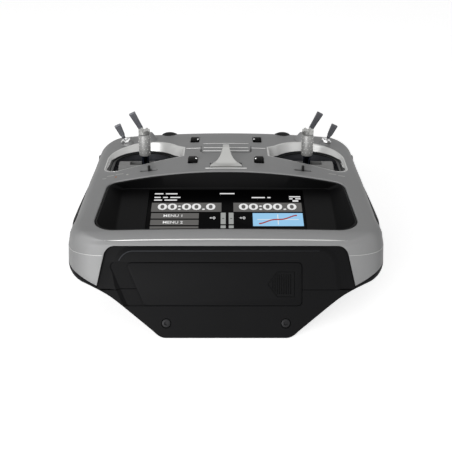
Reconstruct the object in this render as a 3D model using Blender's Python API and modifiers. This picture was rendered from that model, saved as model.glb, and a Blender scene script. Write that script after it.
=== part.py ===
"""Radio control transmitter: a hand-held case that lies on its back, with two stick gimbals, a sunken
colour screen, toggle switches, trim levers, dials, side levers and a sliding battery cover.

Units are metres. +Z is up out of the face, +Y points to the top end with the switches, and -Y to the
bottom end with the battery cover. The origin is on the flat rear face that the case rests on.
"""

import math

import bmesh
import bpy
from mathutils import Matrix, Vector

# Case, seen from the front
HALF_WIDTH_NEAR = 0.0938
CHEEK_STEP = 0.0024
HALF_WIDTH_MIDDLE = HALF_WIDTH_NEAR - CHEEK_STEP
HALF_WIDTH_FAR = 0.0898
NEAR_Y = -0.0615
FAR_Y = 0.0910
NEAR_CORNER = 0.0180
FAR_CORNER = 0.0240
CHEEK_END_Y = -0.0350
NECK_Y = -0.0430

# Case, seen from the side
LIP_Z = 0.0570
BROW_Z = 0.0685
DECK_Z = 0.0692
SHOULDER_Z = 0.0700
FAR_EDGE_Z = 0.0688
BROW_Y = 0.0080
DECK_Y = 0.0200
SHOULDER_Y = 0.0830
LIP_BACK_Y = -0.0540
CROWN_LIP = 0.0010
CROWN_BROW = 0.0055
CROWN_DECK = 0.0050
CROWN_SHOULDER = 0.0030
CROWN_AT = 0.0740
TOP_EDGE_RADIUS = 0.0072
NEAR_FILLET = 0.0050
REAR_FILLET = 0.0012
FAR_FILLET = 0.0065

# Rear of the case
REAR_HALF = 0.0386
REAR_EDGE = 0.0020
WING_INNER = 0.0660
WING_Z = 0.0277
WING_DROP = 0.0062
WING_EDGE_RADIUS = 0.0075
REAR_RISE_Y = 0.0500
REAR_RISE = 0.0200
END_TILT = math.radians(23.8)
END_TOP_Z = 0.0497

# Walls and fits
WALL = 0.0025
END_WALL = 0.0040
FAR_WALL = 0.0035
GAP = 0.0003
PARTING_Z = 0.0540
REAR_SEAM_Z = 0.0385
CHEEK_Z = 0.0312
PANEL_LOW_Z = 0.0258

# Bottom end panel and battery bay
CHEEK_TOP_WIDTH = 0.0242
CHEEK_LOW_WIDTH = 0.0183
PANEL_TOP_HALF = HALF_WIDTH_NEAR - CHEEK_TOP_WIDTH
PANEL_LOW_HALF = HALF_WIDTH_NEAR - CHEEK_LOW_WIDTH
PANEL_CORNER = 0.0065
RECESS_DEPTH = 0.0010
RECESS_MARGIN = 0.0081
RECESS_CORNER = 0.0060
RECESS_TOP_DROP = 0.0030
RECESS_LOW_Z = 0.0040
RECESS_WAIST_Z = 0.0235
RECESS_FLARE = 0.0030
COVER_LEFT_MARGIN = 0.0111
COVER_RIGHT_MARGIN = 0.0256
COVER_SLANT = 0.0110
COVER_LEFT = COVER_LEFT_MARGIN - PANEL_TOP_HALF
COVER_LOW_LEFT = COVER_LEFT + COVER_SLANT
COVER_RIGHT = PANEL_TOP_HALF - COVER_RIGHT_MARGIN
COVER_TOP_Z = 0.0409
COVER_LOW_Z = 0.0179
COVER_THICK = 0.0018
COVER_CORNER = 0.0025
COVER_TRAVEL = 0.0080
COVER_LEDGE = 0.0022
ARROW_INSET = 0.0060
ARROW_LENGTH = 0.0165
ARROW_HEIGHT = 0.0135
ARROW_DEPTH = 0.0005
ARROW_RIBS = 7
BATTERY = (0.0920, 0.0340, 0.0140)
BATTERY_X = -0.0070
BATTERY_Y = -0.0463
BATTERY_Z = 0.0203
TRAY_HEIGHT = 0.0110
TRAY_WALL = 0.0015
END_SCREW_X = 0.0346
END_SCREW_Z = 0.0086
SCREW_HEAD_RADIUS = 0.0026
SCREW_HEAD_DEPTH = 0.0020
SCREW_SHANK_RADIUS = 0.0013
SCREW_SHANK = 0.0060
WING_SCREW_INSET = 0.0084
WING_SCREW_X = HALF_WIDTH_MIDDLE - WING_SCREW_INSET
WING_SCREW_Y = -0.0290
REAR_POST_RADIUS = 0.0036
FRONT_POST_RADIUS = 0.0026

# Screen
SCREEN_TILT = math.radians(15.0)
SCREEN_Y = -0.0206
SCREEN_Z = 0.0494
GLASS = (0.0990, 0.0566, 0.0012)
LCD = (0.1040, 0.0610, 0.0045)
OPENING_NEAR_Y = -0.0545
SCREEN_RIM_NEAR = 0.0156
SCREEN_RIM_FAR = 0.0150
OPENING_NEAR_HALF = HALF_WIDTH_NEAR - SCREEN_RIM_NEAR
OPENING_FAR_HALF = HALF_WIDTH_MIDDLE - SCREEN_RIM_FAR
OPENING_FAR_Y = 0.0060
OPENING_BOW = 0.0045
OPENING_NEAR_RADIUS = 0.0130
OPENING_FAR_RADIUS = 0.0075
FLOOR_SIDE_MARGIN = 0.0110
FLOOR_HALF = OPENING_NEAR_HALF - FLOOR_SIDE_MARGIN
FLOOR_NEAR = -0.0302
FLOOR_FAR = 0.0296
FLOOR_RADIUS = 0.0030
FLOOR_THICK = 0.0016
BEZEL_WALL = 0.0013
BEZEL_FLANGE_THICK = 0.0012
BEZEL_FLANGE = 0.0020
BEZEL_SINK = 0.0006

# Stick gimbals
STICK_X = 0.0556
STICK_Y = 0.0440
STICK_PIVOT_Z = 0.0470
WELL_RADIUS = 0.0255
WELL_CHORD = 0.0140
WELL_CHORD_ANGLE = math.radians(22.0)
WELL_INNER = 0.0260
WELL_WALL = 0.0020
WELL_FLOOR_Z = 0.0620
WELL_OUTER = 0.0252
WELL_CORNER = 0.0070
SHROUD_WALL = 0.0012
FRAME_HALF = 0.0250
FRAME_WALL = 0.0030
FRAME_PLATE = 0.0015
FRAME_TOP_Z = 0.0560
FRAME_LOW_Z = 0.0330
FRAME_POST = 0.0220
FRAME_POST_RADIUS = 0.0026
DRUM_RADIUS = 0.0150
DRUM_SHELL = 0.0020
DRUM_HALF = 0.0180
DRUM_REACH = math.radians(106.0)
DRUM_SLOT = (0.0210, 0.0064)
DRUM_AXLE_RADIUS = 0.0030
STICK_SHAFT_RADIUS = 0.0022
STICK_HUB_RADIUS = 0.0040
STICK_HUB_HALF = 0.0030
STICK_HUB_CONE = 0.0015
CROSS_PIN_RADIUS = 0.0018
SLEEVE_LOW_Z = 0.0674
SLEEVE_TOP_Z = 0.0826
SLEEVE_RADIUS = 0.0041
SLEEVE_GROOVES = 3
CROWN_HEIGHT = 0.0032
CROWN_TEETH = 6
CROWN_NOTCH = (0.0011, 0.0009)
CROWN_DISH = (0.0014, 0.0022, 0.0012)
SLEEVE_ROOF = 0.0010
SLEEVE_SHAFT_END = 0.0015

# Toggle switches: base on the deck, outward lean and lever length
LONG_SWITCH_X = 0.0568
LONG_SWITCH_Y = 0.0760
LONG_SWITCH_LEAN = math.radians(28.0)
LONG_SWITCH_BOSS = 0.0032
LONG_LEVER = 0.0172
SHORT_SWITCH_X = 0.0712
SHORT_SWITCH_Y = 0.0710
SHORT_SWITCH_LEAN = math.radians(24.0)
SHORT_SWITCH_BOSS = 0.0012
SHORT_LEVER = 0.0116
SWITCH_BOSS_RADIUS = 0.0060
SWITCH_BUSH_RADIUS = 0.0026
SWITCH_BUSH_RISE = 0.0026
SWITCH_NUT_RADIUS = 0.0044
SWITCH_NUT_HEIGHT = 0.0016
SWITCH_BODY = (0.0060, 0.0065, 0.0026)
SWITCH_BODY_TOP = 0.0068
PADDLE_BASE = 0.0030
PADDLE_TIP = 0.0046
PADDLE_THICK = 0.0018

# Trim levers: pivot places on the deck and the way that each one swings
TRIM_PADDLE = (0.0060, 0.0017)
TRIM_RISE = 0.0040
TRIM_BARREL_RADIUS = 0.0015
TRIM_SLOT = (0.0068, 0.0116)
TRIM_BOARD_THICK = 0.0016
CENTRE_BOARD = (0.0520, 0.0520)
CENTRE_BOARD_Y = 0.0510
CENTRE_BOARD_TOP = 0.0620
SIDE_BOARD = (0.0200, 0.0080)
SIDE_BOARD_TOP = 0.0596
BOARD_BOSS_RADIUS = 0.0018
CENTRE_TRIM_X = 0.0222
LOWER_TRIM_Y = 0.0298
UPPER_TRIM_Y = 0.0705
STICK_TRIM_X = 0.0505
STICK_TRIM_Y = 0.0168

# Power key and strap hook
KEY = (0.0334, 0.0074)
KEY_Y = 0.0482
KEY_PROUD = 0.0006
KEY_TRAVEL = 0.0010
HOOK_BASE_HALF = 0.0104
HOOK_TIP_HALF = 0.0021
HOOK_Y = 0.0155
HOOK_FOOT = 0.0060
HOOK_RUN = 0.0125
HOOK_RISE = 0.0078
HOOK_CURL = 0.0065
HOOK_THICK = 0.0016
HOOK_POCKET = 0.0010

# Dials, side levers and grips
DIAL_X = 0.0412
DIAL_LEAN = math.radians(45.0)
DIAL_RADIUS = 0.0066
DIAL_HEIGHT = 0.0050
DIAL_SINK = 0.0055
DIAL_POCKET_WALL = 0.0018
DIAL_FLOOR = 0.0025
DIAL_SHAFT_RADIUS = 0.0022
DIAL_POT_RADIUS = 0.0050
DIAL_POT_DEPTH = 0.0060
SIDE_LEVER_Y = 0.0720
SIDE_LEVER_Z = 0.0460
SIDE_LEVER_HUB = 0.0052
SIDE_LEVER_REACH = 0.0112
SIDE_LEVER_THICK = 0.0024
SIDE_LEVER_GAP = 0.0009
SIDE_LEVER_TIP = 0.0034
SIDE_PIN_RADIUS = 0.0016
SIDE_PIN_REACH = 0.0040
GRIP_THICK = 0.0022
GRIP_BULGE = 0.0014
GRIP_NEAR_Y = -0.0350
GRIP_FAR_Y = 0.0580
GRIP_LOW_Z = 0.0356
GRIP_TOP_Z = 0.0532

# Inside
BOARD = (0.0960, 0.0740, 0.0016)
BOARD_Y = 0.0130
BOARD_Z = 0.0120
BOARD_POST_RADIUS = 0.0030
RADIO_UNIT = (0.0420, 0.0300, 0.0060)
RADIO_SHIFT = 0.0120
SPEAKER_RADIUS = 0.0130
SPEAKER_HEIGHT = 0.0060
SPEAKER_Y = 0.0180
GRILLE_SLOTS = 5
GRILLE_SLOT = (0.0200, 0.0018)
GRILLE_PITCH = 0.0043


# Scene and materials


def start_scene():
    """Empties the scene and makes the collection of the object's pieces and that of its cutters."""
    for obj in list(bpy.data.objects):
        bpy.data.objects.remove(obj, do_unlink=True)
    made = []
    for name in ("radio_transmitter", "cutters"):
        collection = bpy.data.collections.new(name)
        bpy.context.scene.collection.children.link(collection)
        made.append(collection)
    return made


PIECES, CUTTERS = start_scene()


def finish(name, colour, roughness, metallic):
    """A plain finish with one colour."""
    material = bpy.data.materials.new(name)
    material.use_nodes = True
    shader = material.node_tree.nodes["Principled BSDF"]
    shader.inputs["Base Color"].default_value = (*colour, 1.0)
    shader.inputs["Roughness"].default_value = roughness
    shader.inputs["Metallic"].default_value = metallic
    return material


SILVER = finish("silver_paint", (0.42, 0.42, 0.41), 0.38, 0.6)
BLACK = finish("black_plastic", (0.018, 0.018, 0.019), 0.55, 0.0)
RUBBER = finish("black_rubber", (0.022, 0.022, 0.022), 0.80, 0.0)
BEZEL = finish("bezel_plastic", (0.014, 0.014, 0.015), 0.45, 0.0)
SCREEN = finish("screen_glass", (0.004, 0.004, 0.005), 0.08, 0.0)
STEEL = finish("bright_steel", (0.72, 0.72, 0.70), 0.22, 1.0)
ALLOY = finish("stick_alloy", (0.52, 0.52, 0.51), 0.40, 1.0)
LEVER = finish("lever_grey", (0.16, 0.16, 0.18), 0.45, 0.7)
BOARD_GREEN = finish("circuit_board", (0.02, 0.10, 0.05), 0.50, 0.0)
CELL = finish("cell_wrap", (0.05, 0.09, 0.20), 0.50, 0.0)


# Shape helpers


def add_object(name, mesh, material, matrix=None):
    """A piece of the transmitter, or a cutter where no material is given."""
    obj = bpy.data.objects.new(name, mesh)
    if material is None:
        CUTTERS.objects.link(obj)
        obj.hide_render = True
        obj.display_type = "WIRE"
    else:
        PIECES.objects.link(obj)
        mesh.materials.append(material)
    if matrix is not None:
        obj.matrix_world = matrix
    return obj


def add_bmesh(name, bm, material, matrix=None):
    """An object from a bmesh, with its faces turned outwards."""
    bmesh.ops.recalc_face_normals(bm, faces=bm.faces)
    mesh = bpy.data.meshes.new(name)
    bm.to_mesh(mesh)
    bm.free()
    return add_object(name, mesh, material, matrix)


def box(name, size, centre, material, matrix=None):
    """A box of that size about a centre, in the frame that the matrix gives."""
    bm = bmesh.new()
    bmesh.ops.create_cube(bm, size=1.0, matrix=Matrix.Translation(centre) @ Matrix.Diagonal((*size, 1.0)))
    return add_bmesh(name, bm, material, matrix)


def cylinder(name, radius, low, high, material, matrix=None, segments=20, top_radius=None):
    """A round bar or cone along the frame's own Z axis."""
    bm = bmesh.new()
    bmesh.ops.create_cone(
        bm,
        cap_ends=True,
        segments=segments,
        radius1=radius,
        radius2=radius if top_radius is None else top_radius,
        depth=high - low,
        matrix=Matrix.Translation((0.0, 0.0, (low + high) / 2)),
    )
    return add_bmesh(name, bm, material, matrix)


def plate(name, outline, low, high, material, matrix=None):
    """A flat outline in the frame's XY plane, as thick as from low to high along its Z axis."""
    curve = bpy.data.curves.new(name, "CURVE")
    curve.dimensions = "2D"
    curve.fill_mode = "BOTH"
    curve.extrude = (high - low) / 2
    spline = curve.splines.new("POLY")
    spline.points.add(len(outline) - 1)
    for point, (x, y) in zip(spline.points, outline):
        point.co = (x, y, 0.0, 1.0)
    spline.use_cyclic_u = True
    shift = Matrix.Translation((0.0, 0.0, (low + high) / 2))
    return welded(name, curve, (matrix or Matrix()) @ shift, material)


def welded(name, curve, matrix, material):
    """A curve made into a closed mesh, with its caps joined to its sides."""
    guide = bpy.data.objects.new(name + "_curve", curve)
    CUTTERS.objects.link(guide)
    mesh = bpy.data.meshes.new_from_object(guide.evaluated_get(bpy.context.evaluated_depsgraph_get()))
    bpy.data.objects.remove(guide, do_unlink=True)
    bm = bmesh.new()
    bm.from_mesh(mesh)
    bpy.data.meshes.remove(mesh)
    bmesh.ops.remove_doubles(bm, verts=bm.verts, dist=1e-6)
    return add_bmesh(name, bm, material, matrix)


def turned(name, profile, material, matrix=None, steps=24):
    """A turned shape: profile points are (radius, height), from the top down the outer side."""
    mesh = bpy.data.meshes.new(name)
    edges = [(i, i + 1) for i in range(len(profile) - 1)]
    mesh.from_pydata([(r, 0.0, z) for r, z in profile], edges, [])
    obj = add_object(name, mesh, material, matrix)
    screw = obj.modifiers.new("turn", "SCREW")
    screw.steps = steps
    screw.render_steps = steps
    screw.use_merge_vertices = True
    screw.merge_threshold = 1e-5
    screw.use_smooth_shade = True
    return obj


def loft(name, rings, material, matrix=None, bent_caps=False):
    """A closed skin through rings of equally many points, with a cap on the first and the last."""
    bm = bmesh.new()
    rows = [[bm.verts.new(point) for point in ring] for ring in rings]
    count = len(rows[0])
    for row, above in zip(rows, rows[1:]):
        for i in range(count):
            k = (i + 1) % count
            bm.faces.new((row[i], row[k], above[k], above[i]))
    for row in (rows[0], rows[-1]):
        cap = close_bent if bent_caps else close_flat
        cap(bm, row)
    return add_bmesh(name, bm, material, matrix)


def close_flat(bm, row):
    """Closes a flat ring with one face."""
    bm.faces.new(row)


def close_bent(bm, row):
    """Closes a ring that is alike on both sides of the middle plane with a ladder of faces across it."""
    half = len(row) // 2
    bm.faces.new((row[0], row[1], row[-1]))
    for i in range(2, half):
        bm.faces.new((row[i - 1], row[i], row[-i], row[-i + 1]))
    bm.faces.new((row[half - 1], row[half], row[half + 1]))


def smooth(obj, degrees=40.0):
    """Round pieces are shaded smooth, with sharp edges past that angle."""
    obj.data.shade_smooth()
    obj.data.set_sharp_from_angle(angle=math.radians(degrees))
    return obj


def combine(obj, other, operation):
    """Cuts obj by another object, joins it to it, or keeps what they share."""
    modifier = obj.modifiers.new(f"{operation.lower()}_{other.name}", "BOOLEAN")
    modifier.operation = operation
    modifier.object = other
    return obj


def cut(obj, *others):
    """Takes each of the other objects out of obj."""
    for other in others:
        combine(obj, other, "DIFFERENCE")
    return obj


def join(obj, *others):
    """Joins each of the other objects to obj."""
    for other in others:
        combine(obj, other, "UNION")
    return obj


def soften(obj, width, segments=2, degrees=40.0):
    """Rounds the edges of a piece that are sharper than that angle."""
    bevel = obj.modifiers.new("rounded_edges", "BEVEL")
    bevel.width = width
    bevel.segments = segments
    bevel.limit_method = "ANGLE"
    bevel.angle_limit = math.radians(degrees)
    return obj


def arc(centre, radius, start, end, count):
    """Points along an arc from one angle to another, in degrees, both ends included."""
    angles = [math.radians(start + (end - start) * i / (count - 1)) for i in range(count)]
    return [(centre[0] + radius * math.cos(a), centre[1] + radius * math.sin(a)) for a in angles]


def rounded_box(half_x, half_y, radius, count=4):
    """A rectangle's outline about its own centre, with round corners."""
    corners = ((1, 1, 0), (-1, 1, 90), (-1, -1, 180), (1, -1, 270))
    points = []
    for sx, sy, start in corners:
        centre = (sx * (half_x - radius), sy * (half_y - radius))
        points += arc(centre, radius, start, start + 90, count)
    return points


def frame(origin, x_axis, y_axis):
    """The matrix of a frame with that origin and those two axes."""
    x, y = Vector(x_axis).normalized(), Vector(y_axis).normalized()
    z = x.cross(y)
    return Matrix(((x.x, y.x, z.x, origin[0]), (x.y, y.y, z.y, origin[1]), (x.z, y.z, z.z, origin[2]), (0, 0, 0, 1)))


SIDE_VIEW = frame((0, 0, 0), (0, 1, 0), (0, 0, 1))
END_VIEW = frame((0, NEAR_Y, END_TOP_Z), (1, 0, 0), (0, math.sin(END_TILT), math.cos(END_TILT)))
FRONT_VIEW = frame((0, 0, 0), (1, 0, 0), (0, 0, 1))
SCREEN_FRAME = frame((0, SCREEN_Y, SCREEN_Z), (1, 0, 0), (0, math.cos(SCREEN_TILT), math.sin(SCREEN_TILT)))


# The outer form of the case


def between(value, knots):
    """Straight-line interpolation through (place, height) knots."""
    if value <= knots[0][0]:
        return knots[0][1]
    for (a, low), (b, high) in zip(knots, knots[1:]):
        if value <= b:
            return low + (high - low) * (value - a) / (b - a)
    return knots[-1][1]


def top_height(y):
    """Height of the face along the middle of the case."""
    knots = (
        (NEAR_Y, LIP_Z),
        (LIP_BACK_Y, LIP_Z + (BROW_Z - LIP_Z) * 0.04),
        (BROW_Y, BROW_Z),
        (DECK_Y, DECK_Z),
        (SHOULDER_Y, SHOULDER_Z),
        (FAR_Y, FAR_EDGE_Z),
    )
    return between(y, knots)


def crown(y):
    """How far the face falls away at CROWN_AT from the middle."""
    knots = ((LIP_BACK_Y, CROWN_LIP), (BROW_Y, CROWN_BROW), (STICK_Y, CROWN_DECK), (SHOULDER_Y, CROWN_SHOULDER))
    return between(y, knots)


def face_height(x, y):
    """Height of the outer face at a place seen from the front."""
    return top_height(y) - crown(y) * (x / CROWN_AT) ** 2


def half_width(y):
    """Half the width of the case at its side walls, with round corners at both ends."""
    knots = (
        (NECK_Y, HALF_WIDTH_NEAR),
        (CHEEK_END_Y, HALF_WIDTH_MIDDLE),
        (FAR_Y - FAR_CORNER, HALF_WIDTH_FAR),
    )
    width = between(y, knots)
    into_near = NEAR_Y + NEAR_CORNER - y
    if into_near > 0:
        width -= NEAR_CORNER - math.sqrt(max(0.0, NEAR_CORNER**2 - into_near**2))
    into_far = y - (FAR_Y - FAR_CORNER)
    if into_far > 0:
        width -= FAR_CORNER - math.sqrt(max(0.0, FAR_CORNER**2 - into_far**2))
    return width


def rear_height(y):
    """Height of the rear face, which turns up towards the far end."""
    share = min(1.0, max(0.0, (y - REAR_RISE_Y) / (FAR_Y - REAR_RISE_Y)))
    return REAR_RISE * share * share * (3 - 2 * share)


def half_section(y):
    """Right half of the case's cross-section, from the middle of the face round to the middle of the rear."""
    wide = half_width(y)
    flat = wide - TOP_EDGE_RADIUS
    points = [(flat * i / 6, face_height(flat * i / 6, y)) for i in range(6)]
    edge = face_height(flat, y)
    points += arc((flat, edge - TOP_EDGE_RADIUS), TOP_EDGE_RADIUS, 90, 0, 5)
    low = rear_height(y)
    wing = max(WING_Z, low)
    points += arc((wide - WING_EDGE_RADIUS, wing + WING_EDGE_RADIUS), WING_EDGE_RADIUS, 0, -90, 4)
    inner = wing - min(WING_DROP, (wing - low) / 2)
    turn = low + min(REAR_EDGE, (inner - low) / 2)
    knee = min(WING_INNER, wide - WING_EDGE_RADIUS - REAR_EDGE)
    points += [(knee, inner), (REAR_HALF + REAR_EDGE, turn), (REAR_HALF - REAR_EDGE, low + REAR_EDGE * 0.02)]
    return points + [(0.0, low)]


def inset(points, amounts):
    """Moves each point of a half section inwards by its amount, keeping the ends on the middle plane."""
    moved = []
    for i, (x, z) in enumerate(points):
        before = points[i - 1] if i > 0 else (-points[1][0], points[1][1])
        after = points[i + 1] if i < len(points) - 1 else (-points[-2][0], points[-2][1])
        first = Vector((x - before[0], z - before[1])).normalized()
        second = Vector((after[0] - x, after[1] - z)).normalized()
        normal = Vector((first.y + second.y, -first.x - second.x)).normalized()
        reach = amounts[i] / max(0.5, normal.dot(Vector((first.y, -first.x))))
        moved.append((max(0.0, x + normal.x * reach), z + normal.y * reach))
    moved[0] = (0.0, moved[0][1])
    moved[-1] = (0.0, moved[-1][1])
    return moved


def leaned(y, z):
    """The place along Y of a point whose section stands at y: near the bottom end, sections lean as the end does."""
    share = max(0.0, 1.0 - (y - NEAR_Y) / (DECK_Y - NEAR_Y))
    return y - math.tan(END_TILT) * max(0.0, END_TOP_Z - z) * min(1.0, share * 1.1)


def ring(y, amount, rear_amount):
    """A whole cross-section of the case, moved inwards by one amount at its face and another at its rear."""
    section = half_section(y)
    shares = [between(z, ((WING_Z, 0.0), (WING_Z + WING_EDGE_RADIUS, 1.0))) for _, z in section]
    half = inset(section, [rear_amount + (amount - rear_amount) * share for share in shares])
    right = [(x, leaned(y, z), z) for x, z in half]
    left = [(-x, py, z) for x, py, z in right[-2:0:-1]]
    return right + left


def hull(name, wall=0.0):
    """The outer form of the case with its round ends, or the hollow inside a wall of that thickness."""
    middle = (NEAR_Y + 0.009, NEAR_Y + 0.013, NECK_Y, CHEEK_END_Y, -0.018, BROW_Y, DECK_Y, STICK_Y, 0.058, 0.070)
    if wall:
        ends = (NEAR_Y + END_WALL, FAR_Y - FAR_FILLET, FAR_Y - FAR_WALL)
        stations = [(y, wall, wall) for y in sorted((*middle, *ends))]
    else:
        turns = [math.radians(30 * i) for i in range(4)]
        near = []
        for a in turns:
            share = 1 - math.sin(a)
            near.append((NEAR_Y + NEAR_FILLET * (1 - math.cos(a)), NEAR_FILLET * share, REAR_FILLET * share))
        far = []
        for a in turns[::-1]:
            share = FAR_FILLET * (1 - math.sin(a))
            far.append((FAR_Y - FAR_FILLET * (1 - math.cos(a)), share, share))
        stations = [*near, *[(y, 0.0, 0.0) for y in middle], (0.0780, 0.0, 0.0), *far]
    return loft(name, [ring(*station) for station in stations], None, bent_caps=True)


def round_corner(before, corner, after, radius, count=4):
    """Points of a round that takes the place of a corner between two straight edges."""
    first = (before - corner).normalized()
    second = (after - corner).normalized()
    half = first.angle(second) / 2
    start = corner + first * (radius / math.tan(half))
    end = corner + second * (radius / math.tan(half))
    centre = corner + (first + second).normalized() * (radius / math.sin(half))
    points = []
    for i in range(count):
        share = i / (count - 1)
        ray = (start - centre).slerp(end - centre, share)
        points.append(centre + ray.normalized() * radius)
    return points


def well_outline(side, grow=0.0):
    """A stick well seen from the front: round at its far side, straight across its near and inner sides."""
    chord = WELL_CHORD + grow
    inner = WELL_INNER + grow
    outer = WELL_OUTER + grow
    radius = WELL_RADIUS + grow
    across = Vector((math.sin(WELL_CHORD_ANGLE), -math.cos(WELL_CHORD_ANGLE)))
    along = Vector((math.cos(WELL_CHORD_ANGLE), math.sin(WELL_CHORD_ANGLE)))
    inner_near = across * chord + along * ((inner - across.x * chord) / along.x)
    outer_near = across * chord + along * ((-outer - across.x * chord) / along.x)
    inner_far = Vector((inner, inner * math.tan(math.radians(24.0))))
    side_end = Vector((-outer, 0.0))
    points = round_corner(side_end, outer_near, inner_near, WELL_CORNER + grow)
    points += [inner_near, inner_far]
    turn = arc((0.0, 0.0), radius, 36.0, 172.0, 15)
    flat = [(p.x, p.y) for p in points] + turn
    return [(side * (STICK_X - x), STICK_Y + y) for x, y in flat]


def screen_outline(grow=0.0):
    """Opening of the screen bay seen from the front, from the middle of its far edge round to the right."""
    far_radius = max(0.001, OPENING_FAR_RADIUS + grow)
    near_radius = max(0.001, OPENING_NEAR_RADIUS + grow)
    far_half = OPENING_FAR_HALF + grow
    near_half = OPENING_NEAR_HALF + grow
    far = OPENING_FAR_Y + grow
    near = OPENING_NEAR_Y - grow
    straight = far_half - far_radius
    right = [(straight * i / 5, far + OPENING_BOW * (1 - (i / 5) ** 2)) for i in range(5)]
    right += arc((straight, far - far_radius), far_radius, 88, 2, 5)
    right += arc((near_half - near_radius, near + near_radius), near_radius, 2, -88, 5)
    right += [(near_half * 0.4, near), (0.0, near)]
    return right + [(-x, y) for x, y in right[-2:0:-1]]


def floor_outline(grow=0.0):
    """Floor of the screen bay in the screen's own plane, with as many points as the opening."""
    radius = FLOOR_RADIUS + grow
    half = FLOOR_HALF + grow
    far = FLOOR_FAR + grow
    near = FLOOR_NEAR - grow
    straight = half - radius
    right = [(straight * i / 5, far) for i in range(5)]
    right += arc((straight, far - radius), radius, 88, 2, 5)
    right += arc((straight, near + radius), radius, 2, -88, 5)
    right += [(half * 0.4, near), (0.0, near)]
    return right + [(-x, y) for x, y in right[-2:0:-1]]


def panel_outline(shrink=0.0):
    """Outline of the black end panel between the cheeks, seen from the bottom end."""
    top = END_TOP_Z - shrink
    low = PANEL_LOW_Z + shrink
    high_half = PANEL_TOP_HALF - shrink
    low_half = PANEL_LOW_HALF - shrink
    corner = round_corner(Vector((0, top)), Vector((high_half, top)), Vector((low_half, low)), PANEL_CORNER, 5)
    right = [(p.x, p.y) for p in corner] + [(low_half, low)]
    return right + [(-x, z) for x, z in reversed(right)]


def end_height(z):
    """Place of a height up the sloping end face, in the end face's own frame."""
    return (z - END_TOP_Z) / math.cos(END_TILT)


def recess_outline():
    """The sunken field on the end face that the battery cover lies in."""
    top = end_height(END_TOP_Z - RECESS_TOP_DROP)
    low = end_height(RECESS_LOW_Z)
    high = Vector((PANEL_TOP_HALF - RECESS_MARGIN, top))
    waist = Vector((high.x + RECESS_FLARE, end_height(RECESS_WAIST_Z)))
    right = [(p.x, p.y) for p in round_corner(Vector((0, top)), high, waist, RECESS_CORNER, 4)]
    right += [(waist.x, waist.y), (REAR_HALF - REAR_EDGE / 2, low)]
    return right + [(-x, y) for x, y in reversed(right)]


def cover_outline(grow, left=0.0):
    """Battery cover on the end face, its left edge along the case's slope, with room on its left to slide."""
    top = end_height(COVER_TOP_Z) + grow
    low = end_height(COVER_LOW_Z) - grow
    corners = [
        Vector((COVER_RIGHT + grow, top)),
        Vector((COVER_LEFT - left - grow, top)),
        Vector((COVER_LOW_LEFT - left - grow, low)),
        Vector((COVER_RIGHT + grow, low)),
    ]
    points = []
    for i, corner in enumerate(corners):
        points += round_corner(corners[i - 1], corner, corners[(i + 1) % 4], COVER_CORNER, 3)
    return [(p.x, p.y) for p in points]


# Frames of the pieces that stand at an angle


def switch_frame(side, x, y, lean):
    """Frame of a toggle switch: its Z axis leans outwards from the face."""
    turn = side * lean
    origin = (side * x, y, face_height(x, y))
    return frame(origin, (math.cos(turn), 0, -math.sin(turn)), (0, 1, 0))


SWITCHES = {
    "long": (LONG_SWITCH_X, LONG_SWITCH_Y, LONG_SWITCH_LEAN, LONG_SWITCH_BOSS, LONG_LEVER),
    "short": (SHORT_SWITCH_X, SHORT_SWITCH_Y, SHORT_SWITCH_LEAN, SHORT_SWITCH_BOSS, SHORT_LEVER),
}
SIDES = {"left": -1, "right": 1}


def dial_frame(side):
    """Frame of a dial: its origin is on the far top edge and its Z axis points up and away."""
    fall = crown(FAR_Y - FAR_FILLET) * (DIAL_X / CROWN_AT) ** 2
    y = FAR_Y - FAR_FILLET + FAR_FILLET * math.sin(DIAL_LEAN)
    z = top_height(FAR_Y - FAR_FILLET) - fall - FAR_FILLET * (1 - math.cos(DIAL_LEAN))
    return frame((side * DIAL_X, y, z), (1, 0, 0), (0, math.cos(DIAL_LEAN), -math.sin(DIAL_LEAN)))


def end_frame(x, z):
    """Frame on the sloping end face with its Z axis outwards."""
    return END_VIEW @ Matrix.Translation((x, end_height(z), 0.0))


def upright(x, y, z=0.0):
    """Frame at a place with its axes along the case's."""
    return Matrix.Translation((x, y, z))


TRIMS = {
    "left_lower_trim": (-CENTRE_TRIM_X, LOWER_TRIM_Y, CENTRE_BOARD_TOP, 0.0),
    "right_lower_trim": (CENTRE_TRIM_X, LOWER_TRIM_Y, CENTRE_BOARD_TOP, 0.0),
    "left_upper_trim": (-CENTRE_TRIM_X, UPPER_TRIM_Y, CENTRE_BOARD_TOP, 0.0),
    "right_upper_trim": (CENTRE_TRIM_X, UPPER_TRIM_Y, CENTRE_BOARD_TOP, 0.0),
    "left_stick_trim": (-STICK_TRIM_X, STICK_TRIM_Y, SIDE_BOARD_TOP, 90.0),
    "right_stick_trim": (STICK_TRIM_X, STICK_TRIM_Y, SIDE_BOARD_TOP, 90.0),
}
TRIM_PIVOT_RISE = GAP + TRIM_BARREL_RADIUS
CENTRE_BOSSES = ((-0.0100, 0.0620), (0.0100, 0.0620), (0.0, 0.0385))
TRAY_LOW_Z = BATTERY_Z - GAP - TRAY_WALL
FULL = 0.15


# Hollow of the case, less everything that stands in it


def keep(hollow, piece):
    """Leaves a wall, post or boss standing in the hollow."""
    return cut(hollow, piece)


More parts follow.
